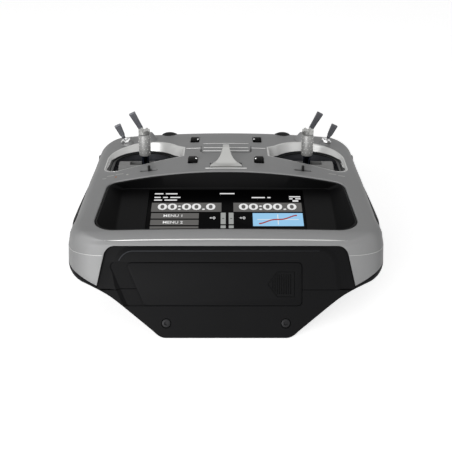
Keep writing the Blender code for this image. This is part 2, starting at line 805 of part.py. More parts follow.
def make_hollow():
    """Inside of the case with its well walls, posts, bosses and ribs left standing."""
    hollow = hull("case_hollow", WALL)
    for name, side in SIDES.items():
        keep(hollow, plate(f"{name}_well_wall", well_outline(side, WELL_WALL), WELL_FLOOR_Z, 0.09, None))
        corners = ((-1, 1), (-1, -1), (1, -1))
        for n, (out, far) in enumerate(corners):
            place = upright(side * (STICK_X + out * FRAME_POST), STICK_Y + far * FRAME_POST)
            post = cylinder(f"{name}_frame_post_{n}", FRAME_POST_RADIUS, FRAME_TOP_Z + GAP, 0.09, None, place, 10)
            keep(hollow, post)
        for n, shift in enumerate((-0.0078, 0.0078)):
            place = upright(side * STICK_TRIM_X + shift, STICK_TRIM_Y)
            keep(hollow, cylinder(f"{name}_board_boss_{n}", BOARD_BOSS_RADIUS, SIDE_BOARD_TOP + GAP, 0.09, None, place, 8))
        place = upright(side * WING_SCREW_X, WING_SCREW_Y)
        keep(hollow, cylinder(f"{name}_rear_post", REAR_POST_RADIUS, 0.0, REAR_SEAM_Z - 2 * GAP, None, place, 12))
        keep(hollow, cylinder(f"{name}_front_post", FRONT_POST_RADIUS, PARTING_Z - GAP, 0.09, None, place, 12))
        pocket = DIAL_RADIUS + 2 * GAP + DIAL_POCKET_WALL
        low = -DIAL_SINK - DIAL_FLOOR
        keep(hollow, cylinder(f"{name}_dial_boss", pocket, low, 0.02, None, dial_frame(side), 20))
        for n, y in enumerate((-1, 1)):
            place = upright(side * (BOARD[0] / 2 - 0.006), BOARD_Y + y * (BOARD[1] / 2 - 0.006))
            keep(hollow, cylinder(f"{name}_board_post_{n}", BOARD_POST_RADIUS, -0.01, BOARD_Z - GAP, None, place, 10))
    for n, (x, y) in enumerate(CENTRE_BOSSES):
        keep(hollow, cylinder(f"centre_boss_{n}", BOARD_BOSS_RADIUS, CENTRE_BOARD_TOP + GAP, 0.09, None, upright(x, y), 8))
    for n, x in enumerate((BATTERY_X - 0.026, BATTERY_X + 0.026)):
        height = TRAY_LOW_Z - GAP
        keep(hollow, box(f"tray_rib_{n}", (0.002, 0.030, height + 0.01), (x, BATTERY_Y, (height - 0.01) / 2), None))
    return hollow


HOLLOW = make_hollow()
OUTER = hull("case_form")
PANEL_HOLE = plate("panel_hole", panel_outline(), 0.0500, 0.1000, None, FRONT_VIEW)
END_FIELD = plate("end_field", recess_outline(), -RECESS_DEPTH, 0.01, None, END_VIEW)
COVER_TRACK = plate(
    "cover_track",
    cover_outline(GAP, COVER_TRAVEL + 0.0012),
    -RECESS_DEPTH - COVER_THICK - GAP,
    0.01,
    None,
    END_VIEW,
)
BAY_MOUTH = plate("bay_mouth", cover_outline(-COVER_LEDGE), -0.0120, 0.012, None, END_VIEW)


# Case


def copy_of(obj, name, material):
    """A piece that starts from the same form as another object."""
    return add_object(name, obj.data.copy(), material, obj.matrix_world.copy())


def make_front_case():
    """Silver front with wells, screen bay, switch seats and slots."""
    case = copy_of(OUTER, "front_case", SILVER)
    for name, side in SIDES.items():
        for kind, (x, y, lean, rise, _) in SWITCHES.items():
            place = switch_frame(side, x, y, lean)
            boss = cylinder(f"{name}_{kind}_boss", SWITCH_BOSS_RADIUS + 0.001, -0.006, rise, None, place, 18, SWITCH_BOSS_RADIUS - 0.0008)
            join(case, boss)
    above = [(-FULL, CHEEK_Z), (NECK_Y, CHEEK_Z), (CHEEK_END_Y, PARTING_Z), (FULL, PARTING_Z), (FULL, FULL), (-FULL, FULL)]
    combine(case, plate("front_half", above, -FULL, FULL, None, SIDE_VIEW), "INTERSECT")
    cut(case, HOLLOW, PANEL_HOLE)
    cut(case, plate("screen_opening", screen_outline(), 0.0400, 0.1000, None))
    for name, side in SIDES.items():
        cut(case, plate(f"{name}_well", well_outline(side), 0.0560, 0.1000, None))
        for kind, (x, y, lean, rise, _) in SWITCHES.items():
            place = switch_frame(side, x, y, lean)
            cut(case, cylinder(f"{name}_{kind}_hole", SWITCH_BUSH_RADIUS + GAP, -0.012, 0.012, None, place, 14))
        place = dial_frame(side)
        cut(case, cylinder(f"{name}_dial_pocket", DIAL_RADIUS + 2 * GAP, -DIAL_SINK, 0.02, None, place, 20))
        cut(case, cylinder(f"{name}_dial_hole", DIAL_SHAFT_RADIUS + GAP, -0.02, 0.0, None, place, 12))
    for name, (x, y, _, turn) in TRIMS.items():
        place = upright(x, y) @ Matrix.Rotation(math.radians(turn), 4, "Z")
        cut(case, box(f"{name}_slot", (TRIM_SLOT[0], TRIM_SLOT[1], 0.03), (0, 0, 0.075), None, place))
    hole = rounded_box(KEY[0] / 2 + GAP, KEY[1] / 2 + GAP, 0.001, 2)
    cut(case, plate("key_hole", hole, 0.05, 0.10, None, upright(0, KEY_Y)))
    seat = face_height(0, HOOK_Y) - HOOK_POCKET
    length = HOOK_FOOT + HOOK_RUN * 0.18
    size = (2 * HOOK_BASE_HALF + 4 * GAP, length + 4 * GAP, 0.02)
    cut(case, box("hook_pocket", size, (0, HOOK_Y + length / 2, seat + 0.01), None))
    return case


def make_rear_case():
    """Black rear tub with its wings, the battery bay, screw seats and sound slots."""
    case = copy_of(OUTER, "rear_case", BLACK)
    seam_y = between(REAR_SEAM_Z, ((CHEEK_Z, NECK_Y), (PARTING_Z, CHEEK_END_Y)))
    below = [
        (-FULL, CHEEK_Z - GAP),
        (NECK_Y + GAP, CHEEK_Z - GAP),
        (seam_y + GAP, REAR_SEAM_Z - GAP),
        (FULL, REAR_SEAM_Z - GAP),
        (FULL, -FULL),
        (-FULL, -FULL),
    ]
    combine(case, plate("rear_half", below, -FULL, FULL, None, SIDE_VIEW), "INTERSECT")
    cut(case, HOLLOW, PANEL_HOLE, END_FIELD, COVER_TRACK, BAY_MOUTH)
    for name, side in SIDES.items():
        place = end_frame(side * END_SCREW_X, END_SCREW_Z)
        cut(case, screw_hole(f"{name}_end_screw_hole", RECESS_DEPTH, place))
        place = frame((side * WING_SCREW_X, WING_SCREW_Y, WING_Z), (1, 0, 0), (0, -1, 0))
        cut(case, screw_hole(f"{name}_wing_screw_hole", 0.0, place))
    for n in range(GRILLE_SLOTS):
        y = SPEAKER_Y + (n - (GRILLE_SLOTS - 1) / 2) * GRILLE_PITCH
        cut(case, box(f"sound_slot_{n}", (*GRILLE_SLOT, 0.01), (0, y, 0), None))
    return case


def make_rear_band():
    """Black wall round the sides and the far end, between the rear tub and the front."""
    band = copy_of(OUTER, "rear_band", BLACK)
    seam_y = between(REAR_SEAM_Z, ((CHEEK_Z, NECK_Y), (PARTING_Z, CHEEK_END_Y)))
    walls = [
        (seam_y + GAP, REAR_SEAM_Z),
        (CHEEK_END_Y + GAP, PARTING_Z - GAP),
        (FULL, PARTING_Z - GAP),
        (FULL, REAR_SEAM_Z),
    ]
    combine(band, plate("band_height", walls, -FULL, FULL, None, SIDE_VIEW), "INTERSECT")
    cut(band, HOLLOW)
    for name, side in SIDES.items():
        pin = frame((0, SIDE_LEVER_Y, SIDE_LEVER_Z), (0, 0, -side), (0, 1, 0))
        reach = half_width(SIDE_LEVER_Y)
        cut(band, cylinder(f"{name}_lever_hole", SIDE_PIN_RADIUS + GAP, reach - 0.01, reach + 0.01, None, pin, 12))
    return band


def screw_hole(name, sink, place):
    """Counterbored hole for a case screw, sunk that far below the frame's plane."""
    head = SCREW_HEAD_RADIUS + GAP
    shank = SCREW_SHANK_RADIUS + GAP
    floor = -sink - SCREW_HEAD_DEPTH - GAP
    end = floor - SCREW_SHANK - 2 * GAP
    profile = [(0.0, 0.01), (head, 0.01), (head, floor), (shank, floor), (shank, end), (0.0, end)]
    return turned(name, profile, None, place, 14)


def make_screw(name, sink, place):
    """Case screw with a flat round head and a hexagon socket."""
    top = -sink - GAP
    low = top - SCREW_HEAD_DEPTH
    end = low - SCREW_SHANK
    socket = top - 0.0012
    profile = [
        (0.0, socket),
        (0.0012, socket),
        (0.0012, top),
        (SCREW_HEAD_RADIUS - 0.0003, top),
        (SCREW_HEAD_RADIUS, top - 0.0003),
        (SCREW_HEAD_RADIUS, low),
        (SCREW_SHANK_RADIUS, low),
        (SCREW_SHANK_RADIUS, end),
        (0.0, end),
    ]
    return turned(name, profile, STEEL, place, 12)


def make_end_panel():
    """Black panel between the cheeks at the bottom end."""
    panel = copy_of(OUTER, "end_panel", BLACK)
    combine(panel, plate("panel_body", panel_outline(GAP), 0.0530, 0.1000, None, FRONT_VIEW), "INTERSECT")
    return cut(panel, HOLLOW, END_FIELD, COVER_TRACK, BAY_MOUTH)


def make_battery_cover():
    """Sliding cover with a ribbed arrow that shows which way it opens."""
    top = -RECESS_DEPTH
    cover = plate("battery_cover", cover_outline(0.0), top - COVER_THICK, top, BLACK, END_VIEW)
    tip = COVER_RIGHT - ARROW_INSET - ARROW_LENGTH
    middle = (end_height(COVER_TOP_Z) + end_height(COVER_LOW_Z)) / 2
    pitch = ARROW_LENGTH / ARROW_RIBS
    for n in range(ARROW_RIBS):
        x = tip + pitch * (n + 0.7)
        half = ARROW_HEIGHT / 2 * (n + 1) / ARROW_RIBS
        size = (pitch * 0.5, 2 * half, 2 * ARROW_DEPTH)
        cut(cover, box(f"cover_rib_{n}", size, (x, middle, top), None, END_VIEW))
    return cover


def make_grip(name, side):
    """Rubber grip along one side of the case, cut at a slant behind the cheek."""
    rings = []
    slant = (CHEEK_END_Y - NECK_Y) / (PARTING_Z - CHEEK_Z)
    for share in (0.0, 0.06, 0.25, 0.5, 0.75, 0.94, 1.0):
        ends = 0.45 if share in (0.0, 1.0) else 1.0
        swell = GRIP_THICK * ends + GRIP_BULGE * math.sin(math.pi * share) ** 0.5
        heights = (
            (GRIP_TOP_Z, 0.0),
            (GRIP_TOP_Z, 0.5 * GRIP_THICK * ends),
            (GRIP_TOP_Z - 0.003, swell * 0.85),
            ((GRIP_TOP_Z + GRIP_LOW_Z) / 2, swell),
            (GRIP_LOW_Z + 0.003, swell * 0.85),
            (GRIP_LOW_Z, 0.5 * GRIP_THICK * ends),
            (GRIP_LOW_Z, 0.0),
            ((GRIP_TOP_Z + GRIP_LOW_Z) / 2, 0.0),
        )
        row = []
        for z, out in heights:
            near = GRIP_NEAR_Y + (z - PARTING_Z) * slant
            y = near + (GRIP_FAR_Y - near) * share
            row.append((side * (half_width(y) + GAP + out), y, z))
        rings.append(row)
    return smooth(loft(name, rings, RUBBER))


# Screen


def make_bezel():
    """Black tray of the screen bay: a flange under the face, sloping walls and a floor with a window."""
    def face_ring(grow, sink):
        return [(x, y, face_height(x, y) - sink) for x, y in screen_outline(grow)]

    def floor_ring(grow, sink):
        return [SCREEN_FRAME @ Vector((x, y, -sink)) for x, y in floor_outline(grow)]

    under = WALL + GAP + 0.0001
    rings = [
        floor_ring(BEZEL_WALL, FLOOR_THICK),
        face_ring(-GAP, under + BEZEL_FLANGE_THICK),
        face_ring(BEZEL_FLANGE, under + BEZEL_FLANGE_THICK),
        face_ring(BEZEL_FLANGE, under),
        face_ring(-GAP, under),
        face_ring(-GAP, BEZEL_SINK),
        face_ring(-GAP - BEZEL_WALL, BEZEL_SINK),
        floor_ring(0.0, 0.0),
    ]
    bezel = loft("screen_bezel", rings, BEZEL)
    window = (GLASS[0] + 2 * GAP, GLASS[1] + 2 * GAP, 0.01)
    return cut(bezel, box("screen_window", window, (0, 0, 0), None, SCREEN_FRAME))


def make_screen():
    """Glass and display unit in the bay's window."""
    top = -0.0001
    glass = box("screen_glass", GLASS, (0, 0, top - GLASS[2] / 2), SCREEN, SCREEN_FRAME)
    low = -FLOOR_THICK - GAP
    display = box("display_unit", LCD, (0, 0, low - LCD[2] / 2), BLACK, SCREEN_FRAME)
    return glass, display


# Sticks


def make_gimbal(name, side):
    """Frame, drum, stick, sleeve and locking tip of one stick."""
    pivot = upright(side * STICK_X, STICK_Y, STICK_PIVOT_Z)
    low = FRAME_LOW_Z - STICK_PIVOT_Z
    high = FRAME_TOP_Z - STICK_PIVOT_Z
    body = plate(f"{name}_gimbal_frame", rounded_box(FRAME_HALF, FRAME_HALF, 0.004, 3), low, high, BLACK, pivot)
    top = plate(f"{name}_frame_top", well_outline(side, WELL_WALL / 2), FRAME_TOP_Z - FRAME_PLATE, FRAME_TOP_Z, None)
    shroud_low = FRAME_TOP_Z - FRAME_PLATE / 2
    wall = plate(f"{name}_shroud", well_outline(side, -GAP), shroud_low, WELL_FLOOR_Z - GAP, None)
    cut(wall, plate(f"{name}_shroud_room", well_outline(side, -GAP - SHROUD_WALL), 0.05, 0.07, None))
    cut(wall, box(f"{name}_shroud_front", (0.07, 0.04, 0.03), (0, -0.024, FRAME_TOP_Z - STICK_PIVOT_Z), None, pivot))
    join(body, top, wall)
    inner = FRAME_HALF - FRAME_WALL
    below = FRAME_TOP_Z - FRAME_PLATE - STICK_PIVOT_Z
    cut(body, plate(f"{name}_frame_bore", rounded_box(inner, inner, 0.006, 3), low - 0.01, below, None, pivot))
    reach = math.sqrt(DRUM_RADIUS**2 - below**2) + 3 * GAP
    size = (2 * DRUM_HALF + 6 * GAP, 2 * reach, 0.02)
    cut(body, box(f"{name}_drum_window", size, (0, 0, below), None, pivot))
    make_drum(name, pivot, inner)
    make_stick(name, pivot)


def make_drum(name, pivot, inner):
    """Half drum that turns in the frame about X, with a slot for the stick and an axle at each end."""
    across = pivot @ frame((0, 0, 0), (0, 1, 0), (0, 0, 1))
    degrees = math.degrees(DRUM_REACH)
    outline = arc((0, 0), DRUM_RADIUS, 90 - degrees, 90 + degrees, 15)
    drum = plate(f"{name}_gimbal_drum", outline, -DRUM_HALF, DRUM_HALF, LEVER, across)
    wall = 0.0022
    hollow = arc((0, 0), DRUM_RADIUS - DRUM_SHELL, 90 - degrees - 8, 90 + degrees + 8, 13)
    cut(drum, plate(f"{name}_drum_hollow", hollow, wall - DRUM_HALF, DRUM_HALF - wall, None, across))
    length, width = DRUM_SLOT
    cut(drum, box(f"{name}_drum_slot", (length, width, 0.03), (0, 0, 0.02), None, pivot))
    axle = cylinder(f"{name}_drum_axle", DRUM_AXLE_RADIUS, GAP - inner, inner - GAP, None, across, 12)
    middle = DRUM_HALF - wall / 2
    cut(axle, box(f"{name}_axle_middle", (2 * middle, 0.02, 0.02), (0, 0, 0), None, pivot))
    return join(drum, axle)


def make_stick(name, pivot):
    """Stick that rocks in the drum about Y on its cross pin, with a grooved sleeve and a toothed tip."""
    sleeve_low = SLEEVE_LOW_Z - STICK_PIVOT_Z
    sleeve_top = SLEEVE_TOP_Z - STICK_PIVOT_Z
    shaft_top = sleeve_top - SLEEVE_SHAFT_END
    radius = STICK_SHAFT_RADIUS
    hub, half = STICK_HUB_RADIUS, STICK_HUB_HALF
    profile = [(0, shaft_top), (radius, shaft_top), (radius, half + STICK_HUB_CONE)]
    profile += [(hub, half), (hub, -half), (0, -half - STICK_HUB_CONE)]
    shaft = turned(f"{name}_stick", profile, STEEL, pivot, 14)
    lying = pivot @ Matrix.Rotation(math.pi / 2, 4, "X")
    reach = DRUM_RADIUS - DRUM_SHELL - 2 * GAP
    join(shaft, cylinder(f"{name}_cross_pin", CROSS_PIN_RADIUS, -reach, reach, None, lying, 10))
    bore = radius + GAP
    roof = sleeve_top - SLEEVE_ROOF
    outer = [(0, sleeve_top), (SLEEVE_RADIUS - 0.0006, sleeve_top), (SLEEVE_RADIUS, sleeve_top - 0.0006)]
    pitch = (sleeve_top - sleeve_low - 0.0030) / SLEEVE_GROOVES
    for n in range(SLEEVE_GROOVES):
        start = sleeve_top - 0.0015 - pitch * n
        outer += [(SLEEVE_RADIUS, start), (SLEEVE_RADIUS - 0.0003, start - 0.0003), (SLEEVE_RADIUS - 0.0003, start - 0.0007)]
        outer += [(SLEEVE_RADIUS, start - 0.0010)]
    outer += [(SLEEVE_RADIUS, sleeve_low + 0.0012), (SLEEVE_RADIUS - 0.0008, sleeve_low)]
    turned(f"{name}_stick_sleeve", [*outer, (bore, sleeve_low), (bore, roof), (0, roof)], ALLOY, pivot, 16)
    base = sleeve_top + GAP
    top = base + CROWN_HEIGHT
    floor, brim, dish = CROWN_DISH
    crown_profile = [(0, top - dish), (floor, top - dish), (brim, top), (SLEEVE_RADIUS - 0.0006, top)]
    crown_profile += [(SLEEVE_RADIUS - 0.0002, top - 0.0006), (SLEEVE_RADIUS - 0.0002, base), (0, base)]
    tip = turned(f"{name}_stick_tip", crown_profile, ALLOY, pivot, 16)
    for n in range(CROWN_TEETH // 2):
        turn = pivot @ Matrix.Rotation(math.pi * n / (CROWN_TEETH // 2), 4, "Z")
        size = (4 * SLEEVE_RADIUS, CROWN_NOTCH[0], 2 * CROWN_NOTCH[1])
        cut(tip, box(f"{name}_tip_notch_{n}", size, (0, 0, top), None, turn))
    return shaft


# Switches, trims, dials and levers


def make_switch(name, kind, side):
    """Toggle switch: body under the face, nut on its boss and a flat lever that widens to its tip."""
    x, y, lean, rise, length = SWITCHES[kind]
    place = switch_frame(side, x, y, lean)
    size = (*SWITCH_BODY[:2], SWITCH_BODY[2])
    body = box(f"{name}_{kind}_switch", size, (0, 0, -SWITCH_BODY_TOP - SWITCH_BODY[2] / 2), STEEL, place)
    top = rise + SWITCH_BUSH_RISE
    join(body, cylinder(f"{name}_{kind}_bush", SWITCH_BUSH_RADIUS, -SWITCH_BODY_TOP - 0.001, top, None, place, 14))
    low = rise + GAP
    nut = cylinder(f"{name}_{kind}_switch_nut", SWITCH_NUT_RADIUS, low, low + SWITCH_NUT_HEIGHT, STEEL, place, 6)
    cut(nut, cylinder(f"{name}_{kind}_nut_bore", SWITCH_BUSH_RADIUS + GAP, 0, 0.02, None, place, 14))
    pivot = place @ Matrix.Translation((0, 0, top))
    half = PADDLE_THICK / 2
    sizes = (
        (GAP, 0.0005, 0.0005),
        (0.0018, 0.0013, 0.0012),
        (0.0034, PADDLE_BASE / 2, half),
        (length - 0.0012, PADDLE_TIP / 2, half),
        (length, PADDLE_TIP / 2 - 0.0007, half * 0.6),
    )
    rings = []
    for z, wide, deep in sizes:
        edge = 0.62
        right = [(0, deep), (wide * edge, deep), (wide, deep * edge), (wide, -deep * edge), (wide * edge, -deep), (0, -deep)]
        rings.append([(px, py, z) for px, py in right + [(-px, py) for px, py in right[-2:0:-1]]])
    loft(f"{name}_{kind}_switch_lever", rings, LEVER, pivot)


def make_trim(name):
    """Trim lever: a flat thumb tab on a barrel that turns on the trim board."""
    x, y, board, turn = TRIMS[name]
    pivot_z = board + TRIM_PIVOT_RISE
    pivot = upright(x, y, pivot_z) @ Matrix.Rotation(math.radians(turn), 4, "Z")
    top = face_height(x, y) + TRIM_RISE - pivot_z
    wide, thick = TRIM_PADDLE
    outline = [(-wide / 2, 0), (wide / 2, 0), (wide / 2, top - 0.0010), (wide / 2 - 0.0010, top)]
    outline += [(0.0010 - wide / 2, top), (-wide / 2, top - 0.0010)]
    standing = pivot @ Matrix.Rotation(math.pi / 2, 4, "X")
    tab = plate(name, outline, -thick / 2, thick / 2, BLACK, standing)
    lying = pivot @ Matrix.Rotation(math.pi / 2, 4, "Y")
    return join(tab, cylinder(f"{name}_barrel", TRIM_BARREL_RADIUS, -wide / 2 - GAP, wide / 2 + GAP, None, lying, 12))


def make_trim_boards():
    """Circuit boards under the face that the trim levers turn on."""
    size = (*CENTRE_BOARD, TRIM_BOARD_THICK)
    box("centre_trim_board", size, (0, CENTRE_BOARD_Y, CENTRE_BOARD_TOP - TRIM_BOARD_THICK / 2), BOARD_GREEN)
    size = (*SIDE_BOARD, TRIM_BOARD_THICK)
    for name, side in SIDES.items():
        centre = (side * STICK_TRIM_X, STICK_TRIM_Y, SIDE_BOARD_TOP - TRIM_BOARD_THICK / 2)
        box(f"{name}_trim_board", size, centre, BOARD_GREEN)


def make_dial(name, side):
    """Fluted dial on the far edge and the turning resistor under it."""
    place = dial_frame(side)
    base = GAP - DIAL_SINK
    top = base + DIAL_HEIGHT
    profile = [(0, top), (DIAL_RADIUS - 0.0008, top), (DIAL_RADIUS, top - 0.0008), (DIAL_RADIUS, base), (0, base)]
    dial = turned(f"{name}_dial", profile, BLACK, place, 24)
    cut(dial, box(f"{name}_dial_mark", (0.0008, 0.006, 0.0008), (0, 0.0055, top), None, place))
    floor = -DIAL_SINK - DIAL_FLOOR - GAP
    shaft = -DIAL_SINK - GAP
    end = floor - DIAL_POT_DEPTH
    profile = [(0, shaft), (DIAL_SHAFT_RADIUS, shaft), (DIAL_SHAFT_RADIUS, floor), (DIAL_POT_RADIUS, floor)]
    turned(f"{name}_dial_pot", [*profile, (DIAL_POT_RADIUS, end), (0, end)], STEEL, place, 14)


def make_side_lever(name, side):
    """Finger lever on the side wall near the far corner, turning on a pin through the wall."""
    reach = half_width(SIDE_LEVER_Y)
    pivot = frame((side * reach, SIDE_LEVER_Y, SIDE_LEVER_Z), (0, 1, 0), (0, 0, 1))
    outer = SIDE_LEVER_GAP + SIDE_LEVER_THICK
    near, far = (SIDE_LEVER_GAP, outer) if side > 0 else (-outer, -SIDE_LEVER_GAP)
    hub = arc((0, 0), SIDE_LEVER_HUB, 150, 390, 12)
    tip = arc((0, SIDE_LEVER_REACH - SIDE_LEVER_TIP), SIDE_LEVER_TIP, 0, 180, 7)
    lever = plate(f"{name}_side_lever", hub + tip, near, far, BLACK, pivot)
    middle = (SIDE_LEVER_GAP + outer) / 2
    low, high = (-SIDE_PIN_REACH, middle) if side > 0 else (-middle, SIDE_PIN_REACH)
    return join(lever, cylinder(f"{name}_lever_pin", SIDE_PIN_RADIUS, low, high, None, pivot, 12))


def make_power_key():
    """Wide key between the upper trims that turns the set on."""
    low = CENTRE_BOARD_TOP + KEY_TRAVEL + 0.0004
    top = face_height(0, KEY_Y) + KEY_PROUD
    place = upright(0, KEY_Y, low)
    key = plate("power_key", rounded_box(KEY[0] / 2, KEY[1] / 2, 0.001, 2), 0.0, top - low, SILVER, place)
    return key


def make_strap_hook():
    """Bent metal hook for the neck strap: a wide foot, a stem that narrows as it rises and a turned-down tip."""
    seat = face_height(0, HOOK_Y) - HOOK_POCKET + GAP + HOOK_THICK
    end = HOOK_Y + HOOK_FOOT
    path = (
        (HOOK_Y, 0.0, HOOK_BASE_HALF),
        (HOOK_Y + HOOK_FOOT * 0.6, 0.0, HOOK_BASE_HALF),
        (end, HOOK_RISE * 0.06, HOOK_BASE_HALF * 0.84),
        (end + HOOK_RUN * 0.2, HOOK_RISE * 0.22, HOOK_BASE_HALF * 0.56),
        (end + HOOK_RUN * 0.5, HOOK_RISE * 0.52, HOOK_BASE_HALF * 0.36),
        (end + HOOK_RUN * 0.9, HOOK_RISE * 0.93, HOOK_TIP_HALF * 1.1),
        (end + HOOK_RUN + HOOK_CURL * 0.25, HOOK_RISE, HOOK_TIP_HALF),
        (end + HOOK_RUN + HOOK_CURL * 0.7, HOOK_RISE * 0.92, HOOK_TIP_HALF),
        (end + HOOK_RUN + HOOK_CURL, HOOK_RISE * 0.62, HOOK_TIP_HALF),
    )
    verts = []
    faces = []
    for row, (y, rise, half) in enumerate(path):
        verts += [(half * k / 2, y, seat + rise) for k in (-2, -1, 0, 1, 2)]
        if row:
            start = 5 * row
            faces += [(start + k, start + k - 5, start + k - 4, start + k + 1) for k in range(4)]
    mesh = bpy.data.meshes.new("strap_hook")
    mesh.from_pydata(verts, [], faces)
    hook = add_object("strap_hook", mesh, STEEL)
    shell = hook.modifiers.new("sheet", "SOLIDIFY")
    shell.thickness = HOOK_THICK
    shell.offset = -1.0
    return hook


# Inside


def make_inside():
    """Battery, its tray, main board, radio unit and speaker."""
    centre = (BATTERY_X, BATTERY_Y, BATTERY_Z + BATTERY[2] / 2)
    box("battery_pack", BATTERY, centre, CELL)
    size = (BATTERY[0] + 2 * (GAP + TRAY_WALL), BATTERY[1] + GAP + TRAY_WALL, TRAY_HEIGHT)
    shift = (GAP + TRAY_WALL) / 2
    tray = box("battery_tray", size, (BATTERY_X, BATTERY_Y + shift, TRAY_LOW_Z + TRAY_HEIGHT / 2), BLACK)
    room = (BATTERY[0] + 2 * GAP, BATTERY[1] + GAP + 2 * TRAY_WALL, TRAY_HEIGHT)
    place = (BATTERY_X, BATTERY_Y + GAP / 2 - TRAY_WALL, TRAY_LOW_Z + TRAY_WALL + TRAY_HEIGHT / 2)
    cut(tray, box("tray_room", room, place, None))
    box("main_board", BOARD, (0, BOARD_Y, BOARD_Z + BOARD[2] / 2), BOARD_GREEN)
    high = BOARD_Z + BOARD[2] + GAP
    box("radio_unit", RADIO_UNIT, (0, BOARD_Y + RADIO_SHIFT, high + RADIO_UNIT[2] / 2), STEEL)
    low = WALL + GAP
    top = low + SPEAKER_HEIGHT
    rim = SPEAKER_RADIUS
    profile = [(0, top), (rim * 0.55, top), (rim * 0.6, low + 0.002), (rim, low + 0.0015), (rim, low), (0, low)]
    turned("speaker", profile, BLACK, upright(0, SPEAKER_Y), 18)


def build():
    """Makes every piece of the transmitter."""
    make_front_case()
    make_rear_case()
    make_rear_band()
    make_end_panel()
    make_battery_cover()
    make_bezel()
    make_screen()
    make_trim_boards()
    make_power_key()
    make_strap_hook()
    make_inside()
    for name in TRIMS:
        make_trim(name)
    for name, side in SIDES.items():
        make_grip(f"{name}_grip", side)
        make_gimbal(name, side)
        for kind in SWITCHES:
            make_switch(name, kind, side)
        make_dial(name, side)
        make_side_lever(name, side)
        make_screw(f"{name}_end_screw", RECESS_DEPTH, end_frame(side * END_SCREW_X, END_SCREW_Z))
        wing = frame((side * WING_SCREW_X, WING_SCREW_Y, WING_Z), (1, 0, 0), (0, -1, 0))
        make_screw(f"{name}_wing_screw", 0.0, wing)


build()
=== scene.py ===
"""Looks of a hand-held radio control transmitter that lies on its back on a pale floor.

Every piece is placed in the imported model's own frame, in metres: +Z is up out of the face, +Y points to the
far end with the switches, and -Y to the near end with the battery cover.
"""

from __future__ import annotations

import logging
import math
from dataclasses import dataclass
from enum import Enum
from typing import Any, Mapping, Optional, Sequence, Union

import bpy
import numpy as np
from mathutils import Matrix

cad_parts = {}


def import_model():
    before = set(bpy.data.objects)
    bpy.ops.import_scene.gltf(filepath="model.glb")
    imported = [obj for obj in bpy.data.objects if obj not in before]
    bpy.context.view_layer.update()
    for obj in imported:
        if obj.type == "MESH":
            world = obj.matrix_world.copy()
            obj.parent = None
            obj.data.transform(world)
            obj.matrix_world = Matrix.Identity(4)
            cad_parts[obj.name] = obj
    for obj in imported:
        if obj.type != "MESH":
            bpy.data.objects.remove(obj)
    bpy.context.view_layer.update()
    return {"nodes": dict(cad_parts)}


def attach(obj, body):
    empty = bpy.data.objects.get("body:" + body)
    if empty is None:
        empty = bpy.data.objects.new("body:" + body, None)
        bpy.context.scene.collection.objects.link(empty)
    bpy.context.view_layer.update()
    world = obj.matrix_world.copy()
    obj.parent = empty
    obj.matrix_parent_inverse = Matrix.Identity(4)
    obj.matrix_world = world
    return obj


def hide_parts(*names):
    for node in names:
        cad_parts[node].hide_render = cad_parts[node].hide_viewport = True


LOG = logging.getLogger("transmitter")
GAP = 0.0003
CAPITAL_SHARE = 0.73
SIDES = {"left": -1.0, "right": 1.0}
MIRROR = (-1.0, 1.0)
Array = np.ndarray


# Finishes


class Value:
    """A number, colour or vector that a node gives; operators on it add Math nodes."""

    def __init__(self, recipe: Recipe, socket: bpy.types.NodeSocket) -> None:
        """Keeps the socket and the recipe that it belongs to."""
        self.recipe = recipe
        self.socket = socket

    def maths(self, operation: str, first: Input, second: Input = 0.0) -> Value:
        """A Math node on two numbers."""
        return self.recipe.node("ShaderNodeMath", {"operation": operation}, {0: first, 1: second})

    def __add__(self, other: Input) -> Value:
        """The sum."""
        return self.maths("ADD", self, other)

    def __radd__(self, other: Input) -> Value:
        """The sum, with the value second."""
        return self.maths("ADD", other, self)

    def __mul__(self, other: Input) -> Value:
        """The product."""
        return self.maths("MULTIPLY", self, other)

    def __rmul__(self, other: Input) -> Value:
        """The product, with the value second."""
        return self.maths("MULTIPLY", other, self)

    def __gt__(self, other: Input) -> Value:
        """One where the value is greater, zero elsewhere."""
        return self.maths("GREATER_THAN", self, other)

    def __lt__(self, other: Input) -> Value:
        """One where the value is less, zero elsewhere."""
        return self.maths("LESS_THAN", self, other)


Input = Union[Value, float, Sequence[float]]


